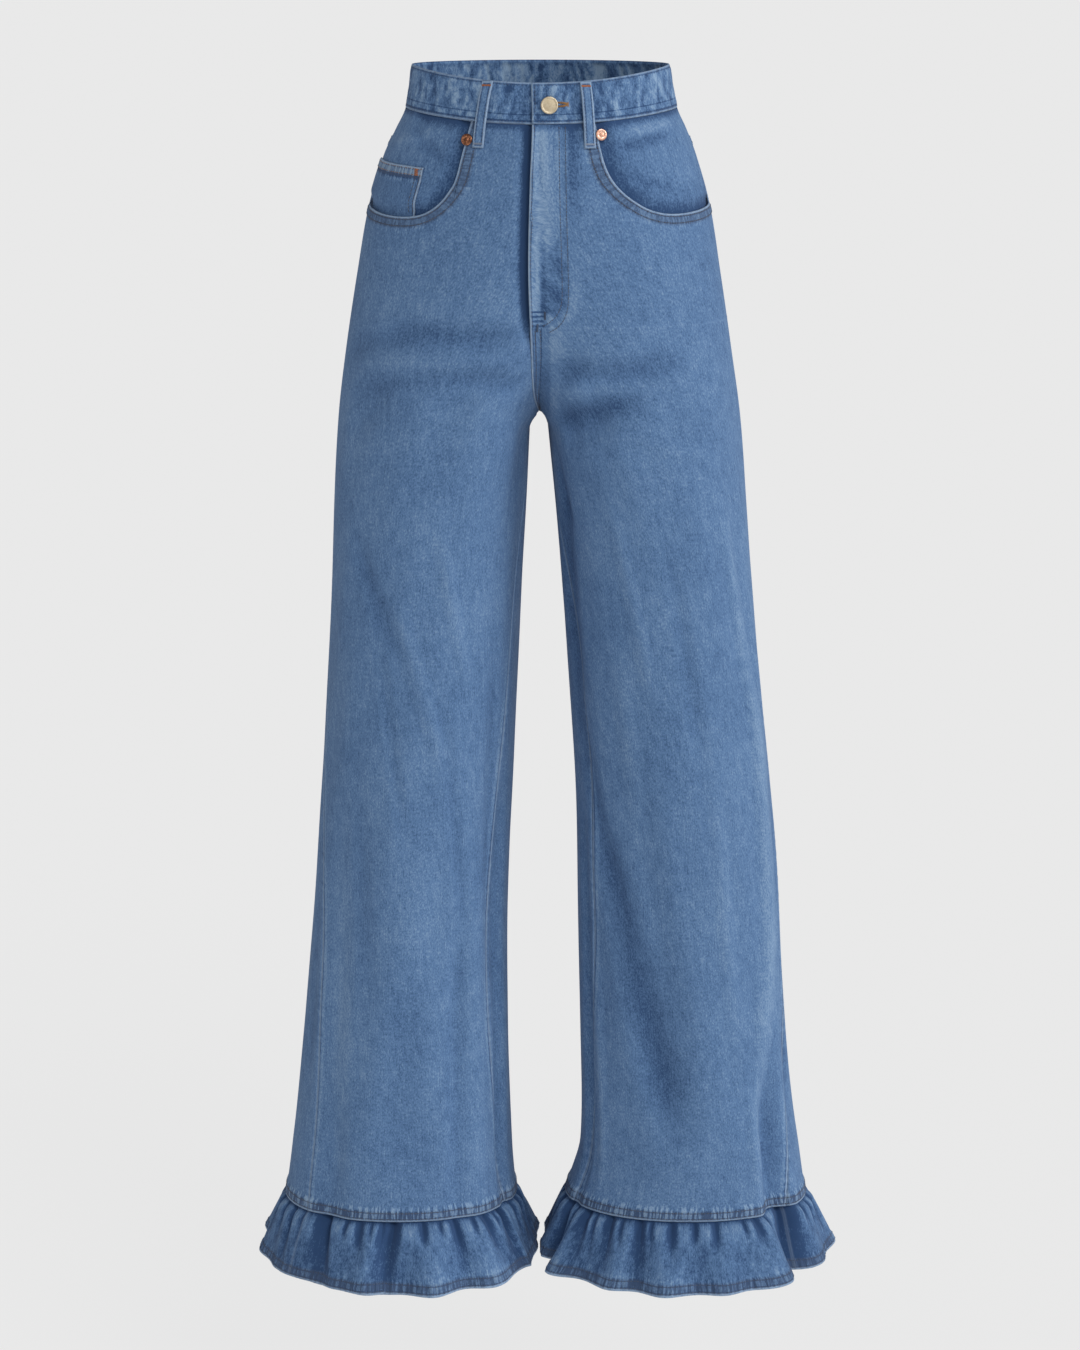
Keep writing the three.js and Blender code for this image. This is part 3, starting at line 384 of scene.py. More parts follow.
def build(name, points, faces, material, values=None, flat=False):
    """A mesh of points in mm, with float vector attributes."""
    mesh = bpy.data.meshes.new(name)
    mesh.from_pydata((np.asarray(points) * 0.001).tolist(), [], np.asarray(faces).tolist())
    for key, data in (values or {}).items():
        made = mesh.attributes.new(key, "FLOAT_VECTOR", "POINT")
        made.data.foreach_set("vector", np.ascontiguousarray(data, np.float32).ravel())
    if not flat:
        mesh.shade_smooth()
    mesh.materials.append(materials[material])
    mesh.update()
    piece = bpy.data.objects.new(name, mesh)
    bpy.context.scene.collection.objects.link(piece)
    pieces[name] = piece
    return piece


def quads(rows, cols, base, ring, flip):
    r, c = np.meshgrid(np.arange(rows - 1), np.arange(cols if ring else cols - 1), indexing="ij")
    a = base + r * cols + c
    b = base + r * cols + (c + 1) % cols
    q = np.stack([a, a + cols, b + cols, b], -1).reshape(-1, 4)
    return q[:, ::-1] if flip else q


def shell(name, outer, inner, material, values, ring=False):
    """A closed thin wall between two grids of points, with the same attributes on both faces."""
    rows, cols = outer.shape[:2]
    n = rows * cols
    top = np.arange(cols if ring else cols - 1)
    after = (top + 1) % cols
    last = (rows - 1) * cols
    parts = [
        quads(rows, cols, 0, ring, False),
        quads(rows, cols, n, ring, True),
        np.stack([top, after, after + n, top + n], -1),
        np.stack([last + top, last + top + n, last + after + n, last + after], -1),
    ]
    if not ring:
        side = np.arange(rows - 1) * cols
        end = side + cols - 1
        parts.append(np.stack([side, side + n, side + cols + n, side + cols], -1))
        parts.append(np.stack([end, end + cols, end + cols + n, end + n], -1))
    faces = np.concatenate(parts)
    points = np.concatenate([outer.reshape(-1, 3), inner.reshape(-1, 3)])
    a, b, c = points[faces[:, 0]], points[faces[:, 1]], points[faces[:, 2]]
    d = points[faces[:, 3]]
    if (a * np.cross(b, c)).sum() + (a * np.cross(c, d)).sum() < 0:
        faces = faces[:, ::-1]
    both = {}
    for key, data in values.items():
        front = np.broadcast_to(data, (rows, cols, 3)).reshape(-1, 3)
        back = front.copy()
        if key == "cloth":
            back[:, 2] = 1
        both[key] = np.concatenate([front, back])
    return build(name, points, faces, material, both)


def round_leg(side, angle):
    """Distance round the leg on the flat cloth, rising to the viewer's right on the front."""
    return -SIGN[side] * np.degrees(angle) * FLAT


def painted_crease_shade(side, angle, z):
    """Painted shade in the troughs of the creases and a painted highlight on their crests; the pale crests also stand
    for their wear.
    """
    degrees = np.degrees(angle)
    return 0.008 * folds(CREASES[side], degrees, z) + 0.046 * folds(FINE_CREASES[side], degrees, z)


def lay(name, side, angle, z, thickness, material, lift=0, seam=None, edge=None, shade=0.0, row=99.0, crimp=0.0):
    """A piece of cloth that lies on one half at a grid of angles and heights."""
    points = surface(side, angle, z)
    n = normal(side, angle, z, points)
    lift = np.broadcast_to(lift, angle.shape)[..., None]
    far = np.full(angle.shape + (3,), 99.0)
    cloth = stack(round_leg(side, angle), z, 0.0)
    # Painted shade and highlight from the creases and the piece, then the distance to a row of stitches and the crimp
    # of hem puckers.
    painted_shade_row_crimp = stack(painted_crease_shade(side, angle, z) + shade, row, crimp)
    seam, edge = (far if value is None else value for value in (seam, edge))
    values = {"cloth": cloth, "seam": seam, "edge": edge, "painted_shade_row_crimp": painted_shade_row_crimp}
    return shell(name, points + n * lift, points + n * (lift - thickness), material, values)


def nearest(u, v, line):
    """Distance and run length from each point to a polyline, all in mm on the flat cloth."""
    line = np.asarray(line, float)
    best = np.full(u.shape, 1e9)
    run = np.zeros(u.shape)
    done = 0.0
    for (x0, y0), (x1, y1) in zip(line[:-1], line[1:]):
        dx, dy = x1 - x0, y1 - y0
        size = math.hypot(dx, dy)
        t = np.clip(((u - x0) * dx + (v - y0) * dy) / max(size * size, 1e-9), 0, 1)
        d = np.hypot(u - x0 - t * dx, v - y0 - t * dy)
        nearer = d < best
        best = np.where(nearer, d, best)
        run = np.where(nearer, done + t * size, run)
        done += size
    return best, run


def stack(*values):
    return np.stack(np.broadcast_arrays(*values), -1)


# Thread: short capsules along a path, joined into one mesh for each group.
threads = {}


def walk(points, normals, pitch):
    """Starts and ends of stitches along a path, evenly by length."""
    length = np.concatenate([[0], np.cumsum(np.linalg.norm(np.diff(points, axis=0), axis=1))])
    count = max(1, int(length[-1] / pitch))
    pitch = length[-1] / count
    at = np.arange(count) * pitch

    def sample(s, rows):
        return np.stack([np.interp(s, length, rows[:, k]) for k in range(3)], -1)

    a, b = at + 0.11 * pitch, at + 0.89 * pitch
    m = (a + b) / 2
    return [(sample(s, points), sample(s, normals)) for s in (a, m, b)]


def stitch(group, points, normals, pitch=3.0, radius=0.32, proud=0.12, ends_in=0.3):
    """Adds a row of stitches to a group."""
    rings = walk(np.asarray(points), np.asarray(normals), pitch)
    add_threads(group, rings, radius, proud, ends_in)


def add_threads(group, rings, radius, proud=0.12, ends_in=0.3, sides=5):
    (a, na), (m, nm), (b, nb) = rings
    count = len(a)
    along = b - a
    along /= np.maximum(np.linalg.norm(along, axis=1, keepdims=True), 1e-9)
    turn = np.arange(sides) * 2 * np.pi / sides
    verts = []
    for centre, n, lift, r in ((a, na, -ends_in, 0.7), (m, nm, proud, 1.0), (b, nb, -ends_in, 0.7)):
        sideways = np.cross(along, n)
        sideways /= np.maximum(np.linalg.norm(sideways, axis=1, keepdims=True), 1e-9)
        up = np.cross(sideways, along)
        ring = centre[:, None] + n[:, None] * lift
        ring = ring + radius * r * (
            sideways[:, None] * np.cos(turn)[None, :, None] + up[:, None] * np.sin(turn)[None, :, None]
        )
        verts.append(ring)
    points = np.stack(verts, 1).reshape(-1, 3)
    k = np.arange(sides)
    j = (k + 1) % sides
    one = [np.stack([r * sides + k, r * sides + j, (r + 1) * sides + j, (r + 1) * sides + k], -1) for r in (0, 1)]
    one = np.concatenate(one)
    faces = (one[None] + (np.arange(count) * 3 * sides)[:, None, None]).reshape(-1, 4)
    threads.setdefault(group, []).append((points, faces, count, sides))


def finish_threads(group, material):
    points, faces, base = [], [], 0
    for p, f, count, sides in threads[group]:
        points.append(p)
        faces.extend((f + base).tolist())
        start = base + np.arange(count) * 3 * sides
        for s in start.tolist():
            faces.append([s + sides - 1 - k for k in range(sides)])
            faces.append([s + 2 * sides + k for k in range(sides)])
        base += len(p)
    points = np.concatenate(points)
    mesh = bpy.data.meshes.new(group)
    mesh.from_pydata((points * 0.001).tolist(), [], faces)
    mesh.shade_smooth()
    mesh.materials.append(materials[material])
    piece = bpy.data.objects.new(group, mesh)
    bpy.context.scene.collection.objects.link(piece)
    pieces[group] = piece
    return piece


def stitch_on(group, side, angles, heights, lift=0.0, **how):
    """A row of stitches on the cloth of one half, through angles in radians and heights in mm."""
    angles, heights = np.broadcast_arrays(np.asarray(angles, float), np.asarray(heights, float))
    length = np.hypot(np.diff(angles) * 100, np.diff(heights)).sum()
    t = np.linspace(0, 1, len(angles))
    fine = np.linspace(0, 1, max(8, int(length / 1.5)))
    a, z = np.interp(fine, t, angles), np.interp(fine, t, heights)
    points = surface(side, a, z)
    n = normal(side, a, z, points)
    rise = np.interp(fine, t, np.broadcast_to(lift, angles.shape)) if np.ndim(lift) else lift
    stitch(group, points + n * np.reshape(rise, (-1, 1)), n, **how)


def bartack(group, centre, along, across, n, width, height, radius=0.34):
    """A dense row of short threads over a width, each of them height long."""
    count = max(4, int(width / (radius * 1.7)))
    offsets = np.linspace(-width / 2, width / 2, count)
    lean = np.where(np.arange(count) % 2 == 0, 0.25, -0.25)
    middle = centre + offsets[:, None] * along
    tilt = along * (lean * radius * 2)[:, None]
    a = middle - across * height / 2 - tilt
    b = middle + across * height / 2 + tilt
    normals = np.broadcast_to(n, middle.shape)
    add_threads(group, [(a, normals), (middle, normals), (b, normals)], radius, 0.3, 0.1)


# Materials.
def colour(r, g, b):
    """A colour by its sRGB values from 0 to 255."""
    c = np.array([r, g, b]) / 255
    c = np.where(c <= 0.04045, c / 12.92, ((c + 0.055) / 1.055) ** 2.4)
    return (*c.tolist(), 1)


class Nodes:
    """A short way to write node trees."""

    def __init__(self, name):
        self.material = bpy.data.materials.new(name)
        self.material.use_nodes = True
        self.tree = self.material.node_tree
        self.shader = self.tree.nodes["Principled BSDF"]
        materials[name] = self.material

    def put(self, kind, **settings):
        node = self.tree.nodes.new("ShaderNode" + kind)
        for key, value in settings.items():
            setattr(node, key, value)
        return node

    def link(self, source, target):
        if isinstance(source, (int, float)):
            target.default_value = source
        elif isinstance(source, tuple):
            target.default_value = source
        else:
            self.tree.links.new(source, target)

    def math(self, operation, a, b=0.0, c=0.0):
        node = self.put("Math", operation=operation)
        for i, value in enumerate((a, b, c)):
            self.link(value, node.inputs[i])
        return node.outputs[0]

    def ramp(self, value, low, high, out_low=0.0, out_high=1.0):
        node = self.put("MapRange", interpolation_type="SMOOTHSTEP")
        for i, v in enumerate((value, low, high, out_low, out_high)):
            self.link(v, node.inputs[i])
        return node.outputs[0]

    def attribute(self, name):
        node = self.put("Attribute", attribute_name=name)
        parts = self.put("SeparateXYZ")
        self.tree.links.new(node.outputs["Vector"], parts.inputs[0])
        return parts.outputs

    def vector(self, x, y, z=0.0):
        node = self.put("CombineXYZ")
        for i, value in enumerate((x, y, z)):
            self.link(value, node.inputs[i])
        return node.outputs[0]

    def noise(self, vector, scale, detail=2.0, roughness=0.5):
        node = self.put("TexNoise")
        self.tree.links.new(vector, node.inputs["Vector"])
        node.inputs["Scale"].default_value = scale
        node.inputs["Detail"].default_value = detail
        node.inputs["Roughness"].default_value = roughness
        return node.outputs["Fac"]

    def mix(self, share, a, b):
        node = self.put("Mix", data_type="RGBA")
        self.link(share, node.inputs[0])
        self.link(a, node.inputs[6])
        self.link(b, node.inputs[7])
        return node.outputs[2]

    def bump(self, height, strength, distance, below=None):
        node = self.put("Bump")
        node.inputs["Strength"].default_value = strength
        node.inputs["Distance"].default_value = distance
        self.tree.links.new(height, node.inputs["Height"])
        if below is not None:
            self.tree.links.new(below, node.inputs["Normal"])
        return node.outputs[0]


DARK = colour(44, 70, 108)
MID = colour(86, 117, 156)
LIGHT = colour(134, 159, 186)
WORN = colour(152, 171, 193)
HEM_GREY = colour(92, 100, 112)
BACK = colour(138, 156, 180)


def denim(name, tone=0.0, mottle=0.0, sheen=0.1):
    """Washed twill, with pale worn edges, puckered seams, and the painted shade and highlight of folds, shadows and
    stitch grooves read from the piece's own attributes.
    """
    n = Nodes(name)
    cloth, seam, edge, painted_shade_row_crimp = (n.attribute(key) for key in ("cloth", "seam", "edge", "painted_shade_row_crimp"))
    u, v = cloth[0], cloth[1]

    def times(value, factor):
        return n.math("MULTIPLY", value, factor)

    def add(value, factor, total):
        return n.math("MULTIPLY_ADD", value, factor, total)

    def centred(value):
        return n.math("SUBTRACT", value, 0.5)

    def line(value, place, half=0.8):
        """One on a thin line where the value passes a place."""
        off = n.math("ABSOLUTE", n.math("SUBTRACT", value, place))
        return n.ramp(off, 0.3, half, 1.0, 0.0)

    # Streaks of wear lean down to the viewer's right, as the twill does.
    across = add(u, 0.956, times(v, 0.29))
    along = add(u, 0.29, times(v, -0.956))
    streak = n.noise(n.vector(times(across, 0.24), times(along, 0.05)), 1.0, 3.0, 0.6)
    twill = n.math("SINE", n.math("MULTIPLY", add(u, 2.1, times(v, 1.1)), 3.1))
    grain = n.noise(n.vector(u, times(v, 0.5)), 0.8, 2.0, 0.75)
    cloud = n.noise(n.vector(u, v), 0.014, 2.0)
    dapple = n.noise(n.vector(u, times(v, 0.7)), 0.13, 2.0, 0.6)
    value = add(grain, 1.1, tone - 0.08)
    value = add(centred(streak), 0.34, value)
    value = add(centred(dapple), 0.3, value)
    slub = n.noise(n.vector(times(u, 0.7), times(v, 0.035)), 1.0, 1.0)
    value = add(centred(slub), 0.24, value)
    value = add(centred(cloud), 0.28, value)
    value = add(twill, 0.03, value)
    # The piece's painted shade and highlight: dark in troughs, grooves and shadows, pale on crests.
    value = n.math("ADD", value, painted_shade_row_crimp[0])
    if mottle:
        patches = n.noise(n.vector(times(u, 0.15), times(v, 0.1)), 1.0, 3.0, 0.7)
        ribs = n.ramp(n.noise(n.vector(times(u, 0.17), times(v, 0.045)), 1.0, 1.0), 0.34, 0.66, -1.0, 1.0)
        value = add(centred(patches), 1.5 * mottle, value)
        value = add(ribs, 0.07 * mottle, value)
    # Puckers across a stitched hem, painted pale on their crowns and dark between them as their light and shade,
    # between two sunken rows of stitches.
    place = n.vector(times(seam[1], 0.38), times(seam[0], 0.05))
    pucker = n.ramp(n.noise(place, 1.0, 1.0, 0.6), 0.4, 0.6, -1.0, 1.0)
    band = n.math("MULTIPLY", n.ramp(seam[0], 0.6, 2.0), n.ramp(seam[0], 11.0, 9.0))
    band = n.math("MULTIPLY", band, seam[2])
    # Painted shade darkens thin lines along the sunken rows of stitches.
    rows = n.math("MAXIMUM", line(seam[0], 2.4), line(seam[0], 8.1))
    rows = n.math("MULTIPLY", rows, seam[2])
    rows = n.math("MAXIMUM", rows, n.math("MAXIMUM", line(painted_shade_row_crimp[1], 0.0), line(painted_shade_row_crimp[1], 5.6)))
    rows = n.math("MAXIMUM", rows, n.math("MULTIPLY", line(edge[0], 2.1), n.ramp(edge[2], 0.5, 0.9)))
    # A painted highlight runs along the puckered crown just above the band.
    crown = n.math("MULTIPLY", n.ramp(seam[0], 9.0, 11.0), n.ramp(seam[0], 16.0, 12.0))
    crown = n.math("MULTIPLY", crown, n.math("MULTIPLY", n.ramp(pucker, -0.2, 1.0, -0.3, 1.0), seam[2]))
    crown = n.math("MULTIPLY", crown, n.math("MULTIPLY_ADD", painted_shade_row_crimp[2], 0.2, 0.08))
    value = n.math("ADD", value, crown)
    crimp = n.math("MULTIPLY_ADD", painted_shade_row_crimp[2], 0.22, 0.11)
    value = n.math("MULTIPLY_ADD", n.math("MULTIPLY", pucker, band), crimp, value)
    value = add(band, -0.1, value)
    value = add(rows, -0.3, value)
    base = n.put("ValToRGB")
    base.color_ramp.elements[0].color = DARK
    base.color_ramp.elements[0].position = 0.08
    base.color_ramp.elements[1].color = LIGHT
    base.color_ramp.elements[1].position = 0.95
    base.color_ramp.elements.new(0.5).color = MID
    n.link(value, base.inputs[0])
    shade = n.mix(times(band, 0.24), base.outputs[0], HEM_GREY)
    # Worn edges, broken up a little.
    worn = []
    for near in (edge, seam):
        fray = n.noise(n.vector(times(near[1], 0.24), near[0]), 1.0, 2.0)
        wear = n.math("MULTIPLY", n.ramp(near[0], 2.3, 0.5), n.ramp(fray, 0.25, 0.6, 0.35, 1.0))
        worn.append(n.math("MULTIPLY", wear, near[2]))
    shade = n.mix(times(n.math("MAXIMUM", *worn), 0.74), shade, WORN)
    inside = n.mix(n.ramp(grain, 0.3, 0.7, 0.55, 0.85), shade, BACK)
    shade = n.mix(cloth[2], shade, inside)
    n.link(shade, n.shader.inputs["Base Color"])
    n.link(n.ramp(grain, 0.2, 0.8, 0.8, 0.95), n.shader.inputs["Roughness"])
    n.shader.inputs["Specular IOR Level"].default_value = 0.16
    n.shader.inputs["Sheen Weight"].default_value = sheen
    n.shader.inputs["Sheen Roughness"].default_value = 0.6
    n.shader.inputs["Sheen Tint"].default_value = colour(180, 196, 220)
    height = n.math("ADD", times(grain, 0.7), times(twill, 0.12))
    height = add(n.math("MULTIPLY", pucker, band), 0.9, height)
    height = add(rows, -0.8, height)
    n.link(n.bump(height, 0.5, 0.0006), n.shader.inputs["Normal"])
    return n.material


def thread(name, tint, dark):
    n = Nodes(name)
    place = n.put("TexCoord").outputs["Object"]
    fine = n.noise(place, 1500.0, 2.0)
    slow = n.noise(place, 60.0, 2.0)
    share = n.math("MULTIPLY_ADD", fine, 0.5, n.math("MULTIPLY", slow, 0.5))
    n.link(n.mix(n.ramp(share, 0.3, 0.7), dark, tint), n.shader.inputs["Base Color"])
    n.link(n.ramp(fine, 0.3, 0.7, 0.55, 0.8), n.shader.inputs["Roughness"])
    n.shader.inputs["Sheen Weight"].default_value = 0.1
    n.link(n.bump(fine, 0.4, 0.0002), n.shader.inputs["Normal"])


def metal(name, tint, dark, rough, stained=0.75):
    n = Nodes(name)
    place = n.put("TexCoord").outputs["Object"]
    stain = n.noise(place, 420.0, 3.0, 0.6)
    fine = n.noise(place, 2600.0, 2.0)
    n.link(n.mix(n.ramp(stain, 0.35, 0.65, 0.0, stained), tint, dark), n.shader.inputs["Base Color"])
    n.shader.inputs["Metallic"].default_value = 1.0
    n.link(n.ramp(stain, 0.3, 0.7, rough, rough + 0.18), n.shader.inputs["Roughness"])
    n.link(n.bump(fine, 0.25, 0.0001), n.shader.inputs["Normal"])


denim("denim_leg")
denim("denim_waist", tone=-0.05, mottle=1.0)
denim("denim_ruffle", tone=-0.2, mottle=0.5)
denim("denim_facing", tone=-0.08, mottle=0.15)
thread("thread_blue", colour(66, 84, 112), colour(44, 58, 82))
thread("thread_grey", colour(82, 88, 102), colour(54, 61, 80))
thread("thread_pale", colour(150, 160, 176), colour(110, 122, 142))
thread("thread_ochre", colour(158, 116, 66), colour(120, 84, 46))
thread("thread_rust", colour(176, 104, 58), colour(120, 70, 44))
thread("thread_brown", colour(134, 106, 92), colour(96, 76, 72))
metal("brass_button", colour(212, 198, 172), colour(172, 154, 124), 0.42, 0.4)
metal("copper_rivet", colour(188, 128, 96), colour(84, 54, 42), 0.3, 0.9)
metal("rose_rivet", colour(232, 190, 170), colour(196, 140, 112), 0.34)


# Front panels: their top follows the pocket scoop and then the waist.
def front_columns(side, scoop_count, flat_count):
    """Angles of the columns up to the scoop's corner, evenly by length along the scoop, then shares."""
    corner = math.radians(SCOOPS[side]["angle"][-1])
    angle = np.linspace(0.002, corner, 1500)
    top = front_top(side, angle)
    length = np.concatenate([[0], np.cumsum(np.hypot(np.diff(angle) * 120, np.diff(top)))])
    scoop = np.interp(np.linspace(0, length[-1], scoop_count), length, angle)
    return scoop, np.linspace(0, 1, flat_count + 1)[1:]


def front_angles(side, z, scoop, shares, past=0.0):
    """Angles of every column at heights z (rows), past being how many mm the edge goes on."""
    z = np.asarray(z, float)
    end = front_end(side, z)
    end = end + past / pace(side, end - 0.02, z)
    start = outseam(side, z) + GAP / 2 / 150
    count = len(scoop) + len(shares)
    low = lerp(start[..., None], end[..., None], np.linspace(0, 1, count))
    corner = scoop[-1]
    flat = lerp(corner, end[..., None], shares)
    high = np.concatenate([np.broadcast_to(scoop, z.shape + (len(scoop),)), flat], -1)
    blend = smooth(z, -300, HIP)[..., None]
    return lerp(low, high, blend)


def fly_dive(side, points, z):
    past = points[..., 0] + fly_edge(z) + FLY_DIVE
    return -(DENIM + 4 * GAP) * smooth(past, 0, FLY_DIVE - 1) * smooth(z, FLY_FLUSH, FLY_SHUT)


def hem_rows(top, step):
    """Heights from the hip to the leg seam, closer together at the felled seam."""
    long = np.arange(HIP, LEG_SEAM + 18, -step)
    return np.concatenate([long, np.linspace(LEG_SEAM + 18, LEG_SEAM, 14)])


J_LINE = {"z": [-24, -90, -142, -168, -180, -189, -195, -198.5], "x": [16.5, 17.5, 19, 19.5, 18.5, 14.5, 8.5, 2.5]}


# The felled seam below the fly: its rows of stitches and its width from the edge.
FELL = {"first": 4.4, "second": 9.6, "width": 11.5}


def seam_pucker(near, z):
    """A seam down the leg pulls the cloth beside it into short dashes, more so lower down."""
    dashes = np.sin(z * 0.74 + 2.2 * np.sin(z * 0.13)) * (0.55 + 0.45 * np.sin(z * 0.043 + 1))
    return 0.16 * dashes * (1 - smooth(near, 1, 7)) * smooth(-z, 330, 700)


def round_hem(side, angle):
    """Distance round the leg at its seam with the ruffle."""
    at = np.linspace(-4, 4, 1600)
    step = np.linalg.norm(np.diff(surface(side, at, LEG_SEAM + 0 * at, False), axis=0), axis=-1)
    return np.interp(angle, at[1:], np.cumsum(step))


def front_panel(side):
    scoop, shares = front_columns(side, 66, 44)
    under = 14.0 if side == "right" else 0.0
    t = np.linspace(0, 1, 34)[:-1]
    hip = front_angles(side, np.array([HIP]), scoop, shares)[0]
    top = front_top(side, hip)
    upper_z = lerp(top[None], HIP, t[:, None])
    upper = np.stack([front_angles(side, upper_z[:, i], scoop, shares)[:, i] for i in range(len(hip))], 1)
    rows = hem_rows(HIP, 4.0)
    rows = np.concatenate([rows[rows > -178], np.arange(-178, -206, -1.3), rows[rows < -206]])
    lower = front_angles(side, rows, scoop, shares)
    angle = np.concatenate([upper, lower])
    z = np.concatenate([upper_z, np.broadcast_to(rows[:, None], lower.shape)])
    if side == "right":
        edge = angle[:, -1]
        reach = np.linspace(0, 1, 8)[1:] * under
        size = pace(side, edge - 0.02, z[:, -1])
        more = edge[:, None] + reach[None] * smooth(z[:, -1], FLY_SHUT, FLY_END)[:, None] / size[:, None]
        angle = np.concatenate([angle, more], 1)
        # Columns past the edge close up below the fly.
        squeeze = smooth(z[:, -1], FLY_FLUSH, FLY_SHUT)[:, None]
        shut = lerp(angle[:, -9:-8], edge[:, None], np.linspace(0, 1, 9)[None, 1:])
        angle[:, -8:] = lerp(shut, angle[:, -8:], squeeze)
        z = np.concatenate([z, np.repeat(z[:, -1:], 7, 1)], 1)
    points = surface(side, angle, z, False)
    fine = np.linspace(0, SCOOPS[side]["angle"][-1], 54)
    line = np.stack([fine * FLAT, front_top(side, np.radians(fine))], -1)
    d_scoop, r_scoop = nearest(np.degrees(angle) * FLAT, z, line)
    d_hem = z - LEG_SEAM
    width = pace(side, angle, z)
    hem = d_hem < 20
    distance = np.where(hem, d_hem, d_scoop)
    run = np.where(hem, round_hem(side, angle), r_scoop)
    seam = stack(distance, run + (0 if side == "left" else 400), 1.0)
    to_fly = (front_end(side, z) - angle) * width
    to_out = (angle - outseam(side, z)) * width
    strength = np.where(z > CROTCH, 1.0 if side == "left" else 0.0, 0.4 + 0.4 * smooth(-z, 420, 620))
    strength = np.where((to_out < to_fly) & (z > -330), 0.3, strength)
    seam_pale = smooth(np.minimum(to_fly, to_out), 2.4, 4) * (1 - smooth(np.minimum(to_fly, to_out), 5, 8))
    edge = stack(np.where(z > -115, to_fly, np.minimum(to_fly, to_out)), z, strength)
    # Scoop hems and the felled seam stand a little proud and pucker.
    pucker = np.sin(run * 1.15 + 1.7 * np.sin(run * 0.21)) * (0.6 + 0.4 * np.sin(run * 0.37 + 1))
    band = smooth(distance, 0.3, 2.5) * (1 - smooth(distance, 7.5, 10.5))
    lift = 0.55 * pucker * band + 0.3 * band
    # The cloth under the waistband lies in its shadow, and seams down the leg pucker.
    shade = -0.5 * (1 - smooth(waist_seam(angle) - z, 0, 7)) + seam_pucker(np.minimum(to_fly, to_out), z)
    shade = shade + 0.16 * seam_pale * smooth(-z, 420, 620)
    lift = lift + 1.5 * seam_pucker(np.minimum(to_fly, to_out), z)
    row = 99.0
    if side == "right":
        # A groove runs beside the fly, deepest at its edge, with painted shade in it.
        beside = -(points[..., 0] + fly_edge(z))
        groove = (1 - smooth(beside, 1, 15)) * smooth(z, -218, -172)
        lift = lift + fly_dive(side, points, z) - 2.6 * groove
        shade = shade - 0.85 * groove * (1 - smooth(beside, 3, 13))
    else:
        j = curve(J_LINE["z"], J_LINE["x"])
        row = j(np.clip(z, J_LINE["z"][-1], -24)) - points[..., 0]
        row = np.where(z < J_LINE["z"][-1] - 1, to_fly - FELL["first"] * (1 - 0.5 * smooth(-z, 236, 287)), row)
        on_fly = smooth(row, -1.5, 1.5) * smooth(z, -204, -195)
        row = np.where((z < CROTCH) | (z > J_LINE["z"][-1] - 1), 99.0, row)
        beyond = j(np.clip(z, J_LINE["z"][-1], -24)) - points[..., 0]
        near_end = smooth(-z, 116, 150) * (1 - smooth(-z, 182, 198)) * smooth(beyond, -8, 5)
        near_end = near_end * smooth(points[..., 0], -3, 2)
        streak = smooth(points[..., 0], -5, -3) * (1 - smooth(points[..., 0], -1, 1)) * smooth(z, -188, -172)
        ripple = 1.2 * uneven(points[..., 0] + 0.04 * z, 2.6, 5) * (0.7 + 0.4 * uneven(z, 14, 6))
        tufts = uneven(z + 0.6 * points[..., 0], 4.5, 7)
        lift = lift + on_fly * (0.6 + 0.25 * ripple) + 0.45 * near_end * tufts
        roll = (1 - smooth(to_fly, 0.5, 9)) * smooth(z, -215, -196)
        lift = lift + 0.9 * roll
        shade = shade + on_fly * (0.18 + 0.13 * ripple) + 0.1 * streak - near_end * (0.36 + 0.3 * tufts)
        dashes = np.maximum(0, np.sin((z + 183) * 1.55)) * smooth(-z, 182, 185) * (1 - smooth(-z, 199, 203))
        shade = shade - 0.85 * dashes * (1 - smooth(np.abs(points[..., 0] + 2), 5, 7))
        # A painted shadow lies just past the upper J of stitches, beside the fly.
        shade = shade - 0.28 * smooth(-beyond, 6, 9) * (1 - smooth(-beyond, 10, 26)) * smooth(z, -130, -40)
        shade = shade + 0.16 * smooth(-beyond, 5, 8) * (1 - smooth(-beyond, 9, 22)) * smooth(-z, 140, 176)
        fell = (1 - smooth(to_fly, FELL["width"], FELL["width"] + 1.5)) * smooth(-z, 206, 216) * smooth(z, CROTCH, CROTCH + 6)
        lift = lift + 0.5 * fell
    return lay(f"denim_front_{side}", side, angle, z, DENIM, "denim_leg", lift, seam, edge, shade, row, 1.0 * hem)


def yoke_seam(share):
    return lerp(YOKE["side"], YOKE["middle"], share)


def back_grid(side, heights):
    """Angles and heights, for rows that may slope: heights is (rows, columns)."""
    count = heights.shape[1]
    share = np.linspace(0, 1, count)
    start = outseam(side, heights) - GAP / 2 / 150
    return lerp(start, back_end(side, heights), share[None])


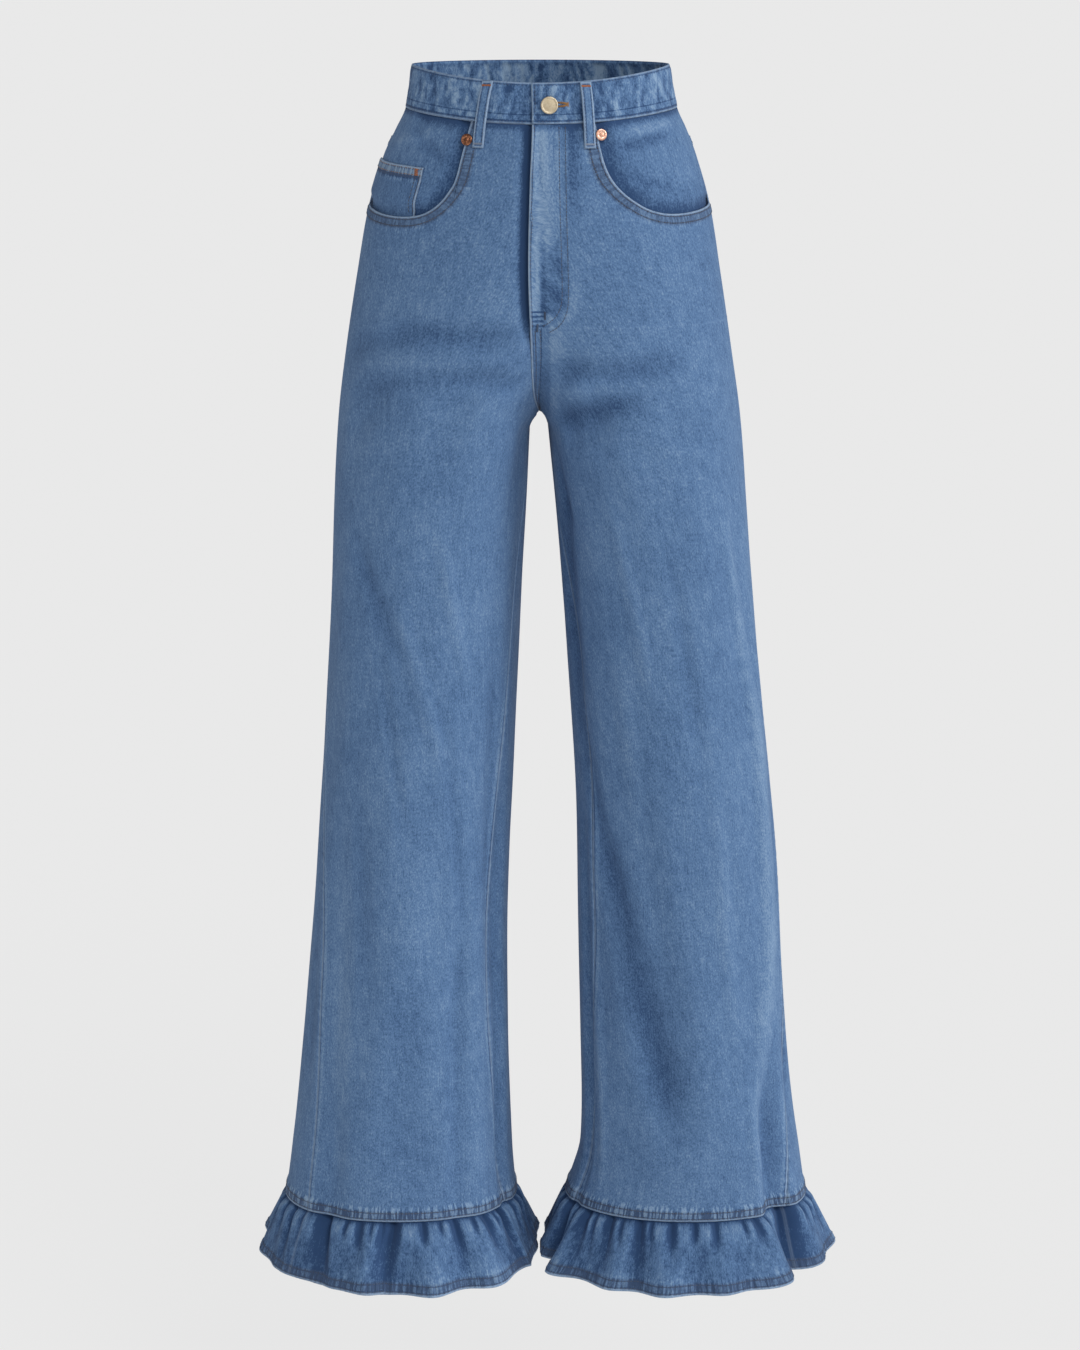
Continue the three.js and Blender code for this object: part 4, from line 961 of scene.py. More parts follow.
def back_panel(side):
    count = 104
    share = np.linspace(0, 1, count)
    top = yoke_seam(share) - GAP
    t = np.linspace(0, 1, 26)[:-1]
    upper = lerp(top[None], HIP, t[:, None])
    rows = hem_rows(HIP, 4.0)
    z = np.concatenate([upper, np.broadcast_to(rows[:, None], (len(rows), count))])
    angle = back_grid(side, z)
    width = pace(side, angle, z)
    to_yoke = (yoke_seam(share) - GAP)[None] - z
    d_hem = z - LEG_SEAM
    hem = d_hem < 20
    distance = np.where(hem, d_hem, 99)
    run = round_hem(side, angle)
    seam = stack(distance, run + 700, 1.0)
    to_middle = (angle - back_end(side, z)) * width
    to_out = (outseam(side, z) - angle) * width
    near = np.minimum(np.minimum(to_middle, to_out), np.where(to_yoke < 15, to_yoke, 99))
    edge = stack(near, np.where(to_yoke < 3, run, z), 0.35)
    pucker = np.sin(run * 1.15 + 1.7 * np.sin(run * 0.21)) * (0.6 + 0.4 * np.sin(run * 0.37 + 1))
    band = smooth(distance, 0.3, 2.5) * (1 - smooth(distance, 7.5, 10.5))
    dashes = seam_pucker(np.minimum(to_middle, to_out), z)
    lift = 0.4 * pucker * band + 0.3 * band + 1.5 * dashes
    # Painted shadow just below the yoke seam.
    shade = dashes - 0.3 * (1 - smooth(to_yoke, 0, 6))
    if side == "left":
        lift = lift + 0.5 * (1 - smooth(to_middle, 6.5, 8)) * smooth(z, CROTCH, CROTCH + 6)
    return lay(f"denim_back_{side}", side, angle, z, DENIM, "denim_leg", lift, seam, edge, shade, crimp=1.0)


def yoke(side):
    count = 90
    share = np.linspace(0, 1, count)
    z = lerp(BAND_SEAM - GAP, yoke_seam(share)[None], np.linspace(0, 1, 24)[:, None])
    angle = back_grid(side, z)
    width = pace(side, angle, z)
    to_seam = z - yoke_seam(share)[None]
    seam = stack(to_seam, angle * width + 50, 0.8)
    to_middle = (angle - back_end(side, z)) * width
    edge = stack(np.minimum(to_middle, to_seam), z, 0.5)
    run = angle * width
    pucker = np.sin(run * 0.8 + 1.4 * np.sin(run * 0.23))
    band = smooth(to_seam, 0.2, 2) * (1 - smooth(to_seam, 7, 10))
    lift = 0.5 * (1 - smooth(to_seam, 7, 9)) + 0.3 * pucker * band
    if side == "left":
        lift = lift + 0.5 * (1 - smooth(to_middle, 6.5, 8))
    # Painted shadow just below the waistband.
    shade = -0.45 * (1 - smooth(BAND_SEAM - z, 0, 7))
    return lay(f"denim_yoke_{side}", side, angle, z, DENIM, "denim_leg", lift, seam, edge, shade)


def inside_scoop(side, degrees, z):
    a = np.array(SCOOPS[side]["angle"], float) * MM_PER_DEGREE
    line = np.stack([a, SCOOPS[side]["z"]], -1)
    near, _ = nearest(degrees * MM_PER_DEGREE, z, line)
    within = (degrees < SCOOPS[side]["angle"][-1]) & (z > scoop_height[side](degrees))
    return np.where(within, near, -near)


def facing_lift(side, angle, z):
    room = DENIM + 0.1 + FACING_CLEAR + (PATCH + 0.1 + GAP if side == "right" else 0)
    return -room * (1 - smooth(inside_scoop(side, np.degrees(angle), z), 1, 13))


PULLS = {
    "right": [(64, -26, 22, -18, 8, -2), (58, -60, 26, -24, 8, -1.6), (52, -30, 14, -44, 8, 1.2)],
    "left": [(70, -36, 18, -22, 8, 1.6), (68, -48, 26, -32, 8, -1.5), (64, -64, 34, -84, 9, -1.2)],
}


def facing_low(side, share):
    corner = SCOOPS[side]["angle"][-1]
    return scoop_height[side](np.minimum(share, 0.83) * corner) - FACING_BELOW


def coin_top(side, share):
    top = lerp(COIN_TOP["side"], COIN_TOP["inner"], share)
    return np.maximum(top, (facing_low(side, share) + BAND_SEAM) / 2)


def facing(side):
    corner = math.radians(SCOOPS[side]["angle"][-1])
    share = np.concatenate([np.linspace(0.003, 0.8, 60), np.linspace(0.8, 1.13, 50)[1:]])
    angle = np.broadcast_to(share * corner, (60, len(share)))
    z = lerp(waist_seam(share * corner)[None], facing_low(side, share)[None], np.linspace(0, 1, 60)[:, None])
    lift = facing_lift(side, angle, z)
    pulls = folds(PULLS[side], np.degrees(angle), z)
    within = inside_scoop(side, np.degrees(angle), z)
    # Painted shade and highlight on the pulls, and a painted shadow along the scoop's edge and under the waistband.
    shade = 0.1 * pulls - 0.26 * (1 - smooth(within, 0, 13)) - 0.16 * (1 - smooth(within, 0, 34))
    shade = shade - 0.4 * (1 - smooth(waist_seam(angle) - z, 0, 7)) + 0.08
    return lay(f"denim_facing_{side}", side, angle, z, PATCH, "denim_facing", lift + pulls, shade=shade)


def coin_grid(rows=46, cols=60):
    corner = math.radians(SCOOPS["right"]["angle"][-1])
    share = np.linspace(0.003, COIN_SHARE, cols)
    angle = np.broadcast_to(share * corner, (rows, cols))
    t = np.linspace(0, 1, rows)[:, None]
    z = lerp(coin_top("right", share)[None], facing_low("right", share)[None], t)
    return angle, z


def coin_pocket():
    angle, z = coin_grid()
    width = 120
    to_top = coin_top("right", np.linspace(0.003, COIN_SHARE, angle.shape[1]))[None] - z
    to_side = (angle[:, -1:] - angle) * width
    run = angle * width
    seam = stack(to_top, run, 1.0)
    edge = stack(to_side, z, 1.0)
    pucker = np.sin(run * 1.1 + np.sin(run * 0.4))
    band = smooth(to_top, 0.2, 1.5) * (1 - smooth(to_top, 6.5, 8.5))
    lift = facing_lift("right", angle, z) + PATCH + GAP + 0.3 * pucker * band + 0.35 * band
    # The top band is pale, with a painted shadow just under it.
    shade = 0.6 * band - 0.55 * smooth(to_top, 7.8, 8.8) * (1 - smooth(to_top, 9.2, 11.5)) - 0.08
    return lay("denim_coin_pocket", "right", angle, z, PATCH, "denim_leg", lift, seam, edge, shade, crimp=1.0)


def pocket_outline(row, col):
    """Height and half reach of a back pocket, row from 0 at its top to 1, col from -1 to 1."""
    bottom = BACK_POCKET["top"] - BACK_POCKET["height"] + BACK_POCKET["point"] * np.abs(col)
    z = lerp(BACK_POCKET["top"], bottom, row)
    return z, col * BACK_POCKET["width"] / 2 * (1 - 0.1 * row)


def pocket_place(side, z, offset):
    centre = np.full(np.shape(z), -math.radians(BACK_POCKET["angle"]))
    return centre - offset / pace(side, centre, z)


def back_pocket(side):
    row, col = np.meshgrid(np.linspace(0, 1, 52), np.linspace(-1, 1, 50), indexing="ij")
    z, offset = pocket_outline(row, col)
    angle = pocket_place(side, z, offset)
    to_top = BACK_POCKET["top"] - z
    to_side = BACK_POCKET["width"] / 2 * (1 - 0.1 * row) - np.abs(offset)
    to_bottom = z - pocket_outline(1.0, col)[0]
    seam = stack(to_top, offset + 60, 1.0)
    near = np.minimum(to_side, to_bottom)
    edge = stack(near, np.where(to_bottom < to_side, offset, z), 0.9)
    pucker = np.sin(offset * 1.0 + np.sin(offset * 0.3))
    band = smooth(to_top, 0.2, 1.5) * (1 - smooth(to_top, 10, 12))
    lift = PATCH + 2 * GAP + 0.3 * pucker * band + 0.25 * band
    lift = lift - 0.2 * smooth(near, 2, 3) * (1 - smooth(near, 5, 9)) * np.sin(z * 0.9 + offset * 0.4)
    return lay(f"denim_back_pocket_{side}", side, angle, z, PATCH, "denim_leg", lift, seam, edge)


# Waistband: from its outer end at the fly, by the left side and the back, to the right front.
BAND_PROUD = 0.6
BAND_UNDERLAP = 26
BAND_DIVE = 26


def band_angle(part, z, t):
    side = "left" if part < 2 else "right"
    starts = (lambda: angle_at_x("left", z, -fly_edge(z)), lambda: 0 * z, lambda: 0 * z - np.pi / 2, lambda: 0 * z)
    ends = (lambda: 0 * z, lambda: 0 * z - np.pi / 2, lambda: 0 * z, lambda: angle_at_x("right", z, BAND_UNDERLAP))
    return side, lerp(starts[part](), ends[part](), t)


def band_point(part, t, v):
    """A point of the waistband's form: t along one quarter, v from 0 at the top to 1 at the seam."""
    t, v = np.broadcast_arrays(np.asarray(t, float), np.asarray(v, float))
    level = lerp(BAND_TOP, BAND_SEAM, v)
    side, angle = band_angle(part, level, t)
    z = level - dip(angle) * lerp(TOP_DIPS_MORE, 1, v)
    side, angle = band_angle(part, z, t)
    return surface(side, angle, z, False)


def band_grid(v, per_quarter=90):
    quarters = []
    for part in range(4):
        t = np.linspace(0, 1, per_quarter)
        if part:
            t = t[1:]
        quarters.append(band_point(part, t[None], v[:, None]))
    return np.concatenate(quarters, 1)


def grid_normals(points, ring=False):
    along = np.roll(points, -1, 1) - np.roll(points, 1, 1) if ring else np.gradient(points, axis=1)
    n = np.cross(along, np.gradient(points, axis=0))
    n /= np.maximum(np.linalg.norm(n, axis=-1, keepdims=True), 1e-9)
    return n


def away_from_axis(n, points):
    out = points * np.array([1, 1, 0])
    return np.where((n * out).sum(-1, keepdims=True) < 0, -n, n)


def band_lift(points, s, v):
    """Puckers and the rolled edges of the waistband, and its sunk rows of stitches."""
    height = v * (BAND_TOP - BAND_SEAM)
    from_edge = np.minimum(height, BAND_TOP - BAND_SEAM - height)
    roll = -0.7 * (1 - smooth(from_edge, 0, 1.6))
    wave = uneven(s + 0.3 * height, 3.6, 1) * (0.7 + 0.5 * uneven(s - 0.5 * height, 11, 2))
    wave2 = uneven(s - 0.25 * height, 8.5, 3)
    body = smooth(from_edge, 1, 5)
    sunk = 0.35 * (smooth(from_edge, 1, 2.2) - smooth(from_edge, 2.8, 4.5))
    return roll + (0.85 * wave + 0.65 * wave2) * body - sunk


def band_dive(points, quarter):
    past = points[..., 0] + fly_edge(points[..., 2]) + BAND_DIVE
    return np.where(quarter == 3, (BAND + GAP + 0.2) * smooth(past, 0, BAND_DIVE - 2), 0)


def waistband():
    v = np.concatenate([[0, 0.015, 0.035, 0.06], np.linspace(0.1, 0.9, 20), [0.94, 0.965, 0.985, 1]])
    base = band_grid(v)
    n = away_from_axis(grid_normals(base), base)
    length = np.linalg.norm(np.diff(base[len(v) // 2], axis=0), axis=-1)
    s = np.broadcast_to(np.concatenate([[0], np.cumsum(length)]), base.shape[:2])
    quarter = np.concatenate([[0] * 90, [1] * 89, [2] * 89, [3] * 89])[None]
    lift = BAND_PROUD + 0.15 + band_lift(base, s, v[:, None]) - band_dive(base, quarter)
    inner = lift - BAND + 2 * 0.7 * (1 - smooth(np.minimum(v, 1 - v)[:, None] * 38, 0, 1.6))
    height = v[:, None] * (BAND_TOP - BAND_SEAM) + 0 * s
    cloth = stack(s, -height, 0.0)
    seam = stack(99.0, s, 0.0)
    end = np.where(s < 30, s, 99)
    from_edge = np.minimum(height, BAND_TOP - BAND_SEAM - height)
    edge = stack(np.minimum(from_edge, end), s, 0.75)
    # Painted light and shade of the puckers: pale where the band stands out, dark where it sinks.
    shade = 0.3 * band_lift(base, s, v[:, None])
    painted_shade_row_crimp = stack(shade, np.where(height < (BAND_TOP - BAND_SEAM) / 2, 99, from_edge - 2.9), 0.0)
    values = {"cloth": cloth, "seam": np.broadcast_to(seam, cloth.shape), "edge": edge, "painted_shade_row_crimp": painted_shade_row_crimp}
    piece = shell("denim_waistband", base + n * lift[..., None], base + n * inner[..., None], "denim_waist", values)
    # The inside of the band is the same cloth without wear, its painted pucker shade half as strong again and a little
    # paler.
    for key, column, factor, plus in (("cloth", 2, 0, 0), ("edge", 2, 0, 0), ("painted_shade_row_crimp", 0, 1.5, 0.1)):
        data = piece.data.attributes[key].data
        flat = np.zeros(len(data) * 3, np.float32)
        data.foreach_get("vector", flat)
        inside = flat.reshape(2, -1, 3)[1, :, column]
        inside *= factor
        inside += plus
        data.foreach_set("vector", flat)
    # Topstitching near the top and the seam, and down the outer end.
    for share in (0.075, 0.935):
        row = band_grid(np.array([share - 0.01, share, share + 0.01]))
        rn = away_from_axis(grid_normals(row), row)[1]
        line = row[1]
        rs = s[0]
        dive = band_dive(line, quarter[0])
        rise = BAND_PROUD + 0.15 + band_lift(line, rs, np.full(len(rs), share)) - dive
        seen = ~((quarter[0] == 3) & (line[:, 0] > -fly_edge(line[:, 2]) - 4))
        seen &= rs > 2.5
        stitch("stitches_waist", (line + rn * rise[:, None])[seen], rn[seen], pitch=3.2, radius=0.3)
    vs = np.linspace(0.075, 0.935, 24)
    down = band_point(0, np.full(24, 0.016), vs)
    dn = away_from_axis(normal("left", angle_at_x("left", down[:, 2], down[:, 0]), down[:, 2]), down)
    stitch("stitches_waist", down + dn * (BAND_PROUD + 0.2), dn, pitch=3.2, radius=0.3)
    return piece


# Belt loops.
LOOP_WIDTH = 10
LOOP_THICK = 1.8
LOOP_STANDS_OFF = 2.6
LOOP_BOTTOM = -35
LOOPS = {
    "front_right": ("right", True, -45, -54),
    "front_left": ("left", True, 39, 43.5),
    "back_right": ("right", False, -74, -79),
    "back_left": ("left", False, 74, 79),
    "back_middle": ("left", False, 0.5, 0.5),
}
LOOP_PROFILE = {"t": [0, 0.05, 0.2, 0.6, 0.82, 0.93, 1], "off": [0, 0, 1, 1, 0.4, -0.23, -0.23]}


def loop_frame(name, t):
    """Middle line, normals and tangents of a belt loop at shares t down it."""
    side, front, top_x, bottom_x = LOOPS[name]
    sense = 1 if front else -1
    edge = float(outer_edge[side](np.float64(BAND_TOP)))
    low = float(dip(np.float64(math.acos(abs(top_x) / edge)))) if front else 0
    z = lerp(BAND_TOP - low * TOP_DIPS_MORE - 1, LOOP_BOTTOM - low, t)
    x = lerp(top_x, bottom_x, t)

    def cloth_at(x, z):
        result = np.zeros(x.shape + (3,))
        for own in SIGN:
            mask = (x * SIGN[own] >= 0) if own == side else (x * SIGN[own] > 0)
            angle = sense * np.arccos(np.minimum(1, np.abs(x) / outer_edge[own](z)))
            result = np.where(mask[..., None], surface(own, angle, z, False), result)
        return result

    middle = cloth_at(x, z)
    tangent = cloth_at(x + 2, z) - cloth_at(x - 2, z)
    tangent /= np.linalg.norm(tangent, axis=1, keepdims=True)
    n = np.cross(tangent, np.array([0, 0, 1.0]))
    n = away_from_axis(n / np.linalg.norm(n, axis=1, keepdims=True), middle)
    off = np.interp(t, LOOP_PROFILE["t"], LOOP_PROFILE["off"]) * LOOP_STANDS_OFF
    off = np.convolve(np.pad(off, 2, "edge"), np.ones(5) / 5, "valid")
    return middle + n * (BAND_PROUD + GAP + off)[:, None], n, tangent


def belt_loop(name):
    t = np.linspace(0, 1, 34)
    middle, n, tangent = loop_frame(name, t)
    across = np.linspace(-1, 1, 13)
    roll = -0.55 * smooth(np.abs(across), 0.86, 1.0)
    seams = 0.12 * (1 - smooth(np.abs(np.abs(across) - 0.66), 0.0, 0.12))
    bow = LOOP_WIDTH**2 / 8 / 90 * (1 - across**2)
    wave = 0.12 * np.sin(t * 19 + 1)[:, None] * across[None]
    place = middle[:, None] + tangent[:, None] * (across * LOOP_WIDTH / 2)[None, :, None]
    top = (LOOP_THICK + bow + roll - seams)[None] + wave
    low = np.broadcast_to(bow - 0.4 * roll, top.shape)
    outer = place + n[:, None] * top[..., None]
    inner = place + n[:, None] * low[..., None]
    height = t * 60
    cloth = stack((across * 5)[None], -height[:, None], 0.0) + np.array([sum(map(ord, name)), 0, 0])
    end = np.minimum(height, 60 - height)[:, None]
    side = (1 - np.abs(across))[None] * 5
    edge = stack(np.minimum(side, end), height[:, None], 1.0)
    values = {"cloth": cloth, "seam": stack(99.0, edge[..., 1], 0.0), "edge": edge, "painted_shade_row_crimp": stack(0.05, 99.0, edge[..., 2] * 0)}
    piece = shell("denim_loop_" + name, outer, inner, "denim_leg", values)
    for share in (-0.66, 0.66):
        rise = LOOP_THICK + LOOP_WIDTH**2 / 8 / 90 * (1 - share**2) - 0.05
        line = middle + tangent * share * LOOP_WIDTH / 2 + n * rise
        stitch("stitches_loops", line[3:-3], n[3:-3], pitch=2.9, radius=0.28)
    down = np.gradient(middle, axis=0)
    down /= np.linalg.norm(down, axis=1, keepdims=True)
    for i, group in ((2, "bartacks_rust"), (31, "bartacks_rust" if name == "back_middle" else "bartacks_blue")):
        centre = middle[i] + n[i] * (LOOP_THICK + 0.1)
        bartack(group, centre, tangent[i], down[i], n[i], 7.6, 1.9)
    return piece


# Ruffles.
def wave_rise(side, degrees):
    total = np.zeros_like(degrees)
    for angle, width, height in WAVES[side]:
        total += height * np.exp(-((((degrees - angle + 180) % 360 - 180) / width) ** 2))
    return total


def all_gathers(side):
    """The gathers seen from the front, and chance ones round the rest of the leg."""
    rng = np.random.default_rng(11 if side == "right" else 23)
    rows = list(GATHERS[side])
    angle, last = rows[-1][0] + 8, rows[0][0] + 352
    while angle < last:
        big = rng.random() < 0.22
        width = rng.uniform(6, 8) if big else rng.uniform(2.4, 4)
        depth = rng.uniform(8, 10) if big else rng.uniform(3.5, 6)
        end = 1.5 if big else rng.uniform(0.5, 1.3)
        angle += width * 0.6
        rows.append((angle, angle + rng.normal(0, 2.5), width, -depth, end))
        angle += width * rng.uniform(1.1, 2.2)
    return rows


def gather_rise(side, degrees, share):
    """Uneven gathers, sharp in their valleys under the seam and softer below, that die out into the waves."""
    total = np.zeros_like(degrees * share)
    for top, hem, width, rise, end in all_gathers(side):
        off = (degrees - lerp(top, hem, share) + 180) % 360 - 180
        steep = np.where(off > 0, 0.6, 1.25) if width >= 6 else 1
        off = np.abs(off) / (width * steep * (0.8 + 0.7 * share))
        sharp, round_ = np.maximum(0, 1 - off) ** 1.5, (1 + np.cos(np.pi * np.minimum(off, 1))) / 2
        fade = smooth(share, 0.11, 0.2) * (1 - smooth(share, 0.2, end))
        total = total + rise * fade * lerp(sharp, round_, 0.65 * smooth(share, 0.25, 0.9))
    return total


def ruffle_flare(degrees):
    s = np.sin(np.radians(degrees))
    return lerp(FLARE["side"], np.where(s > 0, FLARE["front"], FLARE["back"]), s * s)


def ruffle_points(side, degrees, share):
    degrees, share = np.broadcast_arrays(degrees, share)
    at = np.radians(degrees)
    level = lerp(LEG_SEAM + RUFFLE_TUCK, RUFFLE_HEM, share)
    top = surface(side, at, np.maximum(level, LEG_SEAM), False)
    along = surface(side, at + 0.16, LEG_SEAM + 0 * at, False) - surface(side, at - 0.16, LEG_SEAM + 0 * at, False)
    n = np.stack([along[..., 1], -along[..., 0], 0 * at], -1)
    n /= np.linalg.norm(n, axis=-1, keepdims=True)
    middle = lobe(side, level, at >= 0)[0] * SIGN[side]
    away = top - np.stack([middle, 0 * middle, top[..., 2]], -1)
    n = np.where((n * away).sum(-1, keepdims=True) < 0, -n, n)
    open_ = np.maximum(0, share - 0.14) / 0.86
    wave = wave_rise(side, degrees) * open_**1.1
    flare = ruffle_flare(degrees) * open_**0.85 + PUFF * smooth(share, 0.12, 0.3)
    tuck = 2.9 * (1 - smooth(share, 0.12, 0.24))
    rise = flare + wave + gather_rise(side, degrees, share) - tuck
    points = top + n * rise[..., None]
    points[..., 2] = level + 0.12 * (wave - 10 * open_)
    x = np.maximum(points[..., 0] * SIGN[side], 0.8)
    points[..., 0] = SIGN[side] * x
    return points


def ruffle_grid(side, share, count):
    degrees = np.arange(count) * 360 / count - 180
    return degrees, ruffle_points(side, degrees[None], share[:, None])


def ruffle(side):
    count = 640
    share = np.concatenate([np.linspace(0, 0.12, 4)[:-1], np.linspace(0.12, 0.85, 32)[:-1], np.linspace(0.85, 1, 9)])
    degrees, points = ruffle_grid(side, share, count)
    middle = np.array([SIGN[side] * 130, 0, 0])
    out = (points - middle) * np.array([1, 1, 0])
    n = grid_normals(points, True)
    if (n * out).sum() < 0:
        n = -n
    # One count round the hem serves every row, so the weave runs straight down.
    around = np.linalg.norm(np.roll(points[-6], -1, 0) - points[-6], axis=-1).cumsum()
    s = np.broadcast_to(around, points.shape[:2])
    down = (1 - share)[:, None] * RUFFLE_CUT + 0 * s
    seam = stack(down, s + 30, 1.0)
    hem = smooth(down, 0.3, 2) * (1 - smooth(down, 8, 10.5))
    pucker = np.sin(s * 0.85 + 1.5 * np.sin(s * 0.19))
    lift = 0.6 * hem * pucker + 0.3 * hem
    side_seam = np.abs(degrees - np.degrees(float(outseam(side, np.float64(LEG_SEAM)))))
    edge = stack(np.minimum(side_seam, 45)[None] * 2.2, s, 0.3)
    # Painted shade in the valleys of the gathers and waves and a painted highlight on their crests, darkest in the
    # notches just under the seam, and a painted shadow right under the seam.
    depth = gather_rise(side, degrees[None], share[:, None]) + 1.2
    swell = wave_rise(side, degrees)[None] - 8
    notch = (1 - smooth(share, 0.22, 0.5))[:, None]
    shade = np.clip((0.06 + 0.17 * notch) * depth, -0.2 - 0.3 * notch, 0.16 + 0.12 * notch)
    shade = shade + 0.016 * swell * smooth(share, 0.2, 0.8)[:, None]
    shade = shade - 0.6 * (1 - smooth(share, 0.13, 0.2))[:, None]
    values = {
        "cloth": stack(s, -share[:, None] * RUFFLE_CUT, 0.0), "seam": seam, "edge": edge,
        "painted_shade_row_crimp": stack(shade, 99.0, 0.35),
    }
    outer = points + n * lift[..., None]
    piece = shell(f"denim_ruffle_{side}", outer, points - n * DENIM, "denim_ruffle", values, True)
    for d in (2.2, 8.2):
        k = 1 - d / RUFFLE_CUT
        _, row = ruffle_grid(side, np.array([k - 0.02, k, k + 0.02]), count)
        rn = grid_normals(row, True)
        if (rn * ((row - middle) * np.array([1, 1, 0]))).sum() < 0:
            rn = -rn
        rise = (0.6 * np.sin(around * 0.85 + 1.5 * np.sin(around * 0.19)) + 0.3) * float(smooth(np.float64(d), 0.3, 2))
        rise = rise * float(1 - smooth(np.float64(d), 8, 10.5))
        stitch("stitches_hems", row[1] + rn[1] * rise[:, None], rn[1], pitch=3.2, radius=0.28)
    return piece


# Button, rivets and buttonhole.
def turned(name, profile, count, material, place, n):
    """A lathe of (radius, height) rows, set square on the cloth."""
    profile = np.array(profile, float)
    helper = np.array([0, 0, 1.0])
    a = np.cross(n, helper)
    a /= np.linalg.norm(a)
    b = np.cross(n, a)
    turn = np.arange(count) * 2 * np.pi / count
    ring = np.cos(turn)[:, None] * a + np.sin(turn)[:, None] * b
    points = place + profile[1:-1, 0][:, None, None] * ring[None] + profile[1:-1, 1][:, None, None] * n
    rows = len(profile) - 2
    faces = quads(rows, count, 0, True, False).tolist()
    points = np.concatenate([points.reshape(-1, 3), [place + n * profile[0, 1]], [place + n * profile[-1, 1]]])
    low, high = rows * count, rows * count + 1
    for k in range(count):
        faces.append([low, k, (k + 1) % count])
        faces.append([high, (rows - 1) * count + (k + 1) % count, (rows - 1) * count + k])
    mesh = bpy.data.meshes.new(name)
    mesh.from_pydata((points * 0.001).tolist(), [], faces)
    mesh.shade_smooth()
    mesh.materials.append(materials[material])
    piece = bpy.data.objects.new(name, mesh)
    bpy.context.scene.collection.objects.link(piece)
    pieces[name] = piece
    return piece


BUTTON_PROFILE = [
    (0, 0), (3, 0), (3, 1.0), (6.9, 1.05), (7.4, 1.4), (7.6, 1.9), (7.55, 2.45), (7.2, 2.85), (6.7, 3.0), (6.2, 2.9),
    (5.9, 2.62), (5.4, 2.6), (4.6, 2.7), (3, 2.82), (1.2, 2.88), (0, 2.9),
]
RIVET_PROFILE = [
    (0, 0), (3.1, 0), (3.1, 0.3), (4.7, 0.45), (5.15, 0.85), (5.05, 1.3), (4.5, 1.62), (3.6, 1.7), (2.9, 1.5),
    (2.5, 1.25), (2.0, 1.3), (1.5, 1.75), (0.9, 1.95), (0, 2.0),
]


def on_front(side, x, z, lift):
    angle = angle_at_x(side, np.float64(z), np.float64(x))
    n = normal(side, np.atleast_1d(angle), np.array([float(z)]))[0]
    return surface(side, np.atleast_1d(angle), np.array([float(z)]), False)[0] + n * lift, n


def metalwork():
    place, n = on_front("left", 8, -7, BAND_PROUD + GAP)
    turned("button", BUTTON_PROFILE, 64, "brass_button", place, n)
    place, n = on_front("right", -63.5, -37, GAP + 0.2)
    turned("rivet_right_head", RIVET_PROFILE, 40, "copper_rivet", place, n)
    place, n = on_front("left", 53, -32.5, GAP + 0.2)
    turned("rivet_left_head", RIVET_PROFILE, 40, "rose_rivet", place, n)


def buttonhole():
    """Dense ochre thread round a slit, from behind the button to a few mm past it."""
    t = np.linspace(0, 2 * np.pi, 84)[:-1]
    x = 14 + 9.6 * np.cos(t)
    z = -6.3 + 1.7 * np.sin(t)
    angle = angle_at_x("left", z, x)
    n = normal("left", angle, z)
    middle = surface("left", angle, z, False) + n * (BAND_PROUD + 0.5)
    out = np.stack([np.cos(t) * 0.35, 0 * t, np.sin(t)], -1)
    out /= np.linalg.norm(out, axis=1, keepdims=True)
    a, b = middle - out * 0.9, middle + out * 0.9
    add_threads("buttonhole", [(a, n), (middle, n), (b, n)], 0.36, 0.3, 0.1)
    end, en = on_front("left", 24.2, -6.3, BAND_PROUD + 0.6)
    bartack("buttonhole", end, np.array([0, 0, 1.0]), np.array([1.0, 0, 0]), en, 3.4, 1.6)


